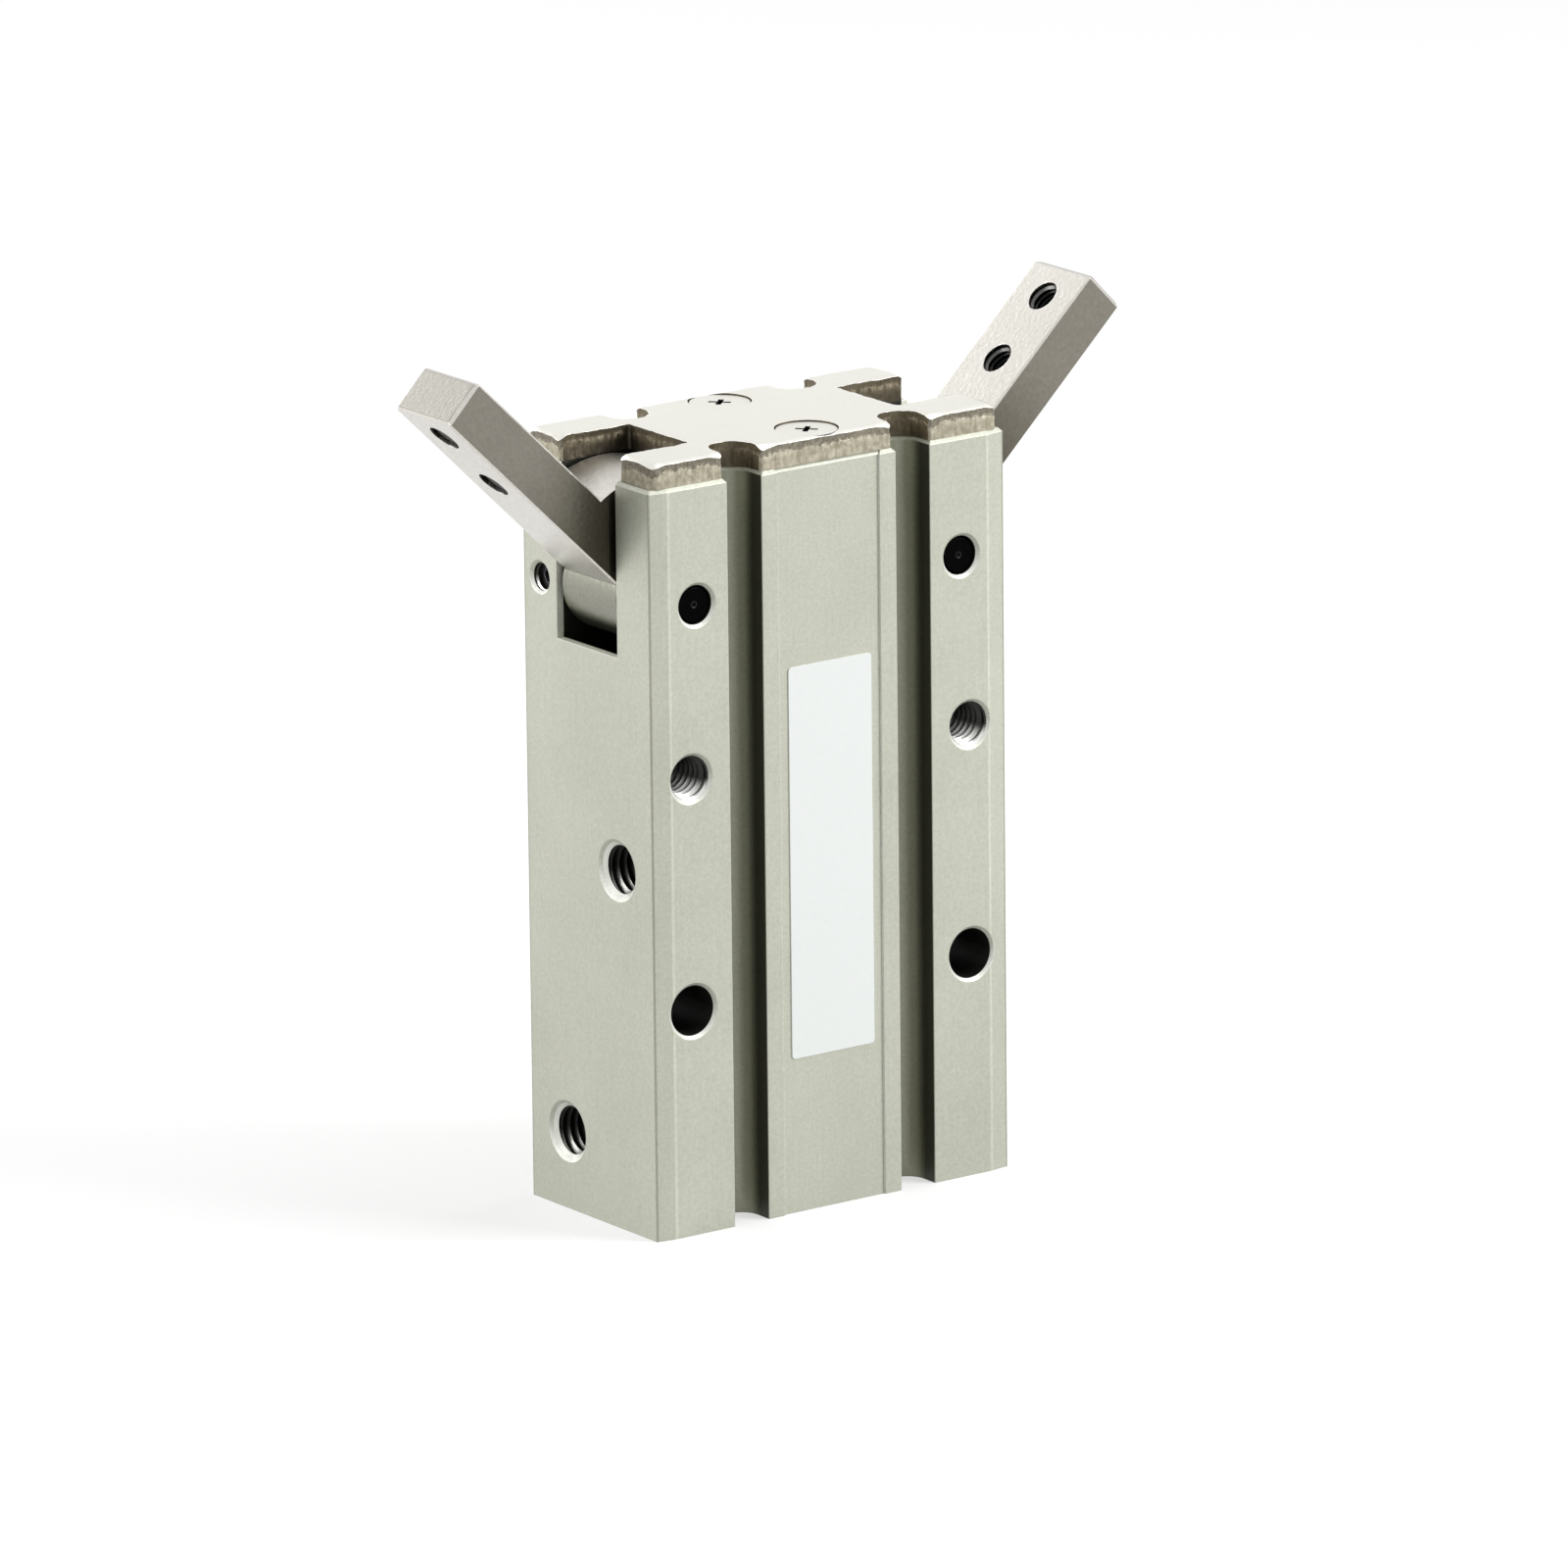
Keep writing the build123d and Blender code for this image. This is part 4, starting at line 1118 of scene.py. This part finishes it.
def inside_plate(points, margin):
    """Which points lie in the top plate, at least margin from its edges and holes."""
    x = np.abs(points[:, 0])
    y = np.abs(points[:, 1])
    in_box = (x < PLATE_HALF_LENGTH - margin) & (y < PLATE_HALF_DEPTH - margin)
    in_slot = (x > PLATE_SLOT_END - margin) & (y < PLATE_SLOT_HALF + margin)
    from_notch = np.hypot(x - GROOVE_X, np.minimum(y - GROOVE_CENTRE, 0))
    in_notch = from_notch < PLATE_NOTCH_RADIUS + margin
    in_hole = np.hypot(x, y - SCREW_Y) < SCREW_HOLE_RADIUS + margin
    return in_box & ~in_slot & ~in_notch & ~in_hole


def plate_face(outline, screw_holes):
    """Points and triangles of the plate's flat shape, with the outline and the
    screw holes as edges and a grid of points between them."""
    grid_x, grid_y = np.meshgrid(
        np.arange(-PLATE_HALF_LENGTH, PLATE_HALF_LENGTH, GRID_STEP),
        np.arange(-PLATE_HALF_DEPTH, PLATE_HALF_DEPTH, GRID_STEP),
    )
    inner = np.column_stack([grid_x.ravel(), grid_y.ravel()])
    inner = inner[inside_plate(inner, GRID_MARGIN)]
    flat = np.vstack([outline, *screw_holes, inner])
    edges = []
    first = 0
    for ring in (outline, *screw_holes):
        edges += [(first + i, first + (i + 1) % len(ring)) for i in range(len(ring))]
        first += len(ring)
    found = delaunay_2d_cdt([Vector(p) for p in flat], edges, [], 0, CLOSE_POINTS)
    flat = np.array([tuple(p) for p in found[0]])
    triangles = np.array(found[2])
    middles = flat[triangles].mean(1)
    kept = inside_outline(middles, outline)
    for screw_hole in screw_holes:
        kept &= ~inside_outline(middles, screw_hole)
    return flat, triangles[kept]


def plate_edge_fall(outline, outer):
    """How far the upper face has fallen where it meets the flank: more on the outer
    edges and most at their corners, with a slow and a quick wave."""
    count = len(outline)
    place = np.arange(count) * EDGE_STEP
    window = np.ones(SOFTENING_POINTS) / SOFTENING_POINTS
    softened = np.convolve(np.tile(outer.astype(float), 3), window, "same")[count:2 * count]
    corners = np.array(
        [
            (PLATE_HALF_LENGTH, PLATE_SLOT_HALF),
            (PLATE_HALF_LENGTH, PLATE_HALF_DEPTH),
            (GROOVE_X + PLATE_NOTCH_RADIUS, PLATE_HALF_DEPTH),
            (GROOVE_X - PLATE_NOTCH_RADIUS, PLATE_HALF_DEPTH),
        ]
    )
    corner_gap = np.linalg.norm(np.abs(outline)[:, None] - corners[None], axis=2).min(1)
    fall = ROLL_FALL * (INNER_ROLL_SHARE + (1 - INNER_ROLL_SHARE) * softened)
    fall += CORNER_FALL * np.exp(-(corner_gap / CORNER_REACH) ** 2) * softened
    slow = SLOW_FALL * wave(place, seed=3)
    quick = QUICK_FALL * wave(place, seed=4, terms=8, lowest=3, highest=9)
    return fall + (slow + quick)


def plate_flank(outline, fall):
    """Rings of the flank from the body up to the fallen edge: the outline, moved by
    each row's lean and by grit that only bites inwards."""
    count = len(outline)
    place = np.arange(count) * EDGE_STEP
    tangent = np.roll(outline, -1, axis=0) - np.roll(outline, 1, axis=0)
    tangent /= np.linalg.norm(tangent, axis=1)[:, None]
    outward = np.column_stack([tangent[:, 1], -tangent[:, 0]])
    edge_height = PLATE_TOP - fall - BODY_HEIGHT
    slow = WAVE_HEIGHT * wave(place, seed=5)
    jags = JAG_HEIGHT * wave(place, seed=6, terms=8, lowest=6, highest=18)
    sheared_height = edge_height - ROLLED_BAND + (slow + jags)
    rng = np.random.default_rng(8)
    rings = []
    for index, (lean, share, rough) in enumerate(FLANK_ROWS):
        low = min(share, 1.0) * sheared_height
        high = max(share - 1.0, 0.0) * (edge_height - sheared_height)
        level = BODY_HEIGHT + low + high
        specks = SPECK_SHARE * rng.uniform(-1, 0.2, count)
        ripple = RIPPLE_SHARE * wave(place, seed=20 + index, terms=8, lowest=2, highest=9)
        grit = rough * SHEAR_ROUGHNESS * (specks + ripple)
        ring = outline + outward * (lean + np.minimum(grit, 0))[:, None]
        rings.append(np.column_stack([ring, level]))
    return rings


def make_top_plate():
    """The top plate. Its upper face is a height over x and y that falls off as a
    power of the nearness to the outline. Its flank is a profile carried along the
    outline: a rough sheared band below a rolled band, with wavy limits between
    them. A flat underside and the straight walls of the screw holes close it."""
    outline = plate_outline()
    count = len(outline)
    near_length = np.abs(outline[:, 0]) > PLATE_HALF_LENGTH - OUTER_BAND
    outer = near_length | (np.abs(outline[:, 1]) > PLATE_HALF_DEPTH - OUTER_BAND)
    turn = np.linspace(0, 2 * pi, SCREW_HOLE_STEPS, endpoint=False)
    circle = SCREW_HOLE_RADIUS * np.column_stack([np.cos(turn), np.sin(turn)])
    screw_holes = [circle + (0, side * SCREW_Y) for side in (-1, 1)]
    flat, triangles = plate_face(outline, screw_holes)
    fall = plate_edge_fall(outline, outer)

    gaps = np.linalg.norm(flat[:, None] - outline[None], axis=2)
    depth = np.clip(1 - gaps.min(1) / ROLL_WIDTH, 0, 1)
    height = PLATE_TOP - fall[gaps.argmin(1)] * depth**ROLL_POWER
    top = np.column_stack([flat, height])
    underside = np.column_stack([flat, np.full(len(flat), BODY_HEIGHT)])
    middle_rings = plate_flank(outline, fall)[1:]
    points = np.vstack([top, underside, *middle_rings])

    upper_edge = gaps.argmin(0)
    middle_rows = 2 * len(top) + np.arange(len(middle_rings) * count).reshape(-1, count)
    flank_rows = np.vstack([len(top) + upper_edge, middle_rows, upper_edge])
    faces = triangles.tolist() + band_faces(flank_rows)
    faces += (triangles[:, ::-1] + len(top)).tolist()
    for screw_hole in screw_holes:
        hole_edge = np.linalg.norm(flat[:, None] - screw_hole[None], axis=2).argmin(0)
        faces += band_faces(np.vstack([hole_edge, len(top) + hole_edge]))
    piece = build_mesh("top_plate_blank", points, faces, PLATE_SMOOTH_ANGLE)
    for finish in PLATE_FINISHES:
        piece.data.materials.append(FINISHES[finish])
    bands = len(flank_rows) - 1
    sheared = np.repeat(np.arange(bands) < SHEARED_BANDS, count)
    flank_finish = np.where(np.tile(outer, bands), np.where(sheared, SHEARED, ROLLED), INNER)
    plain = np.full(len(triangles), PLAIN)
    hole_finish = np.full(len(screw_holes) * SCREW_HOLE_STEPS, INNER)
    index = np.concatenate([plain, flank_finish, plain, hole_finish])
    piece.data.polygons.foreach_set("material_index", index.astype(np.int32))
    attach(piece, "gripper_body")
    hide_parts("top_plate")


bpy.context.scene.view_settings.view_transform = "Standard"
make_camera()
make_floor()
make_sky()
make_lights()
dress_cad_nodes()
make_threads()
make_top_plate()
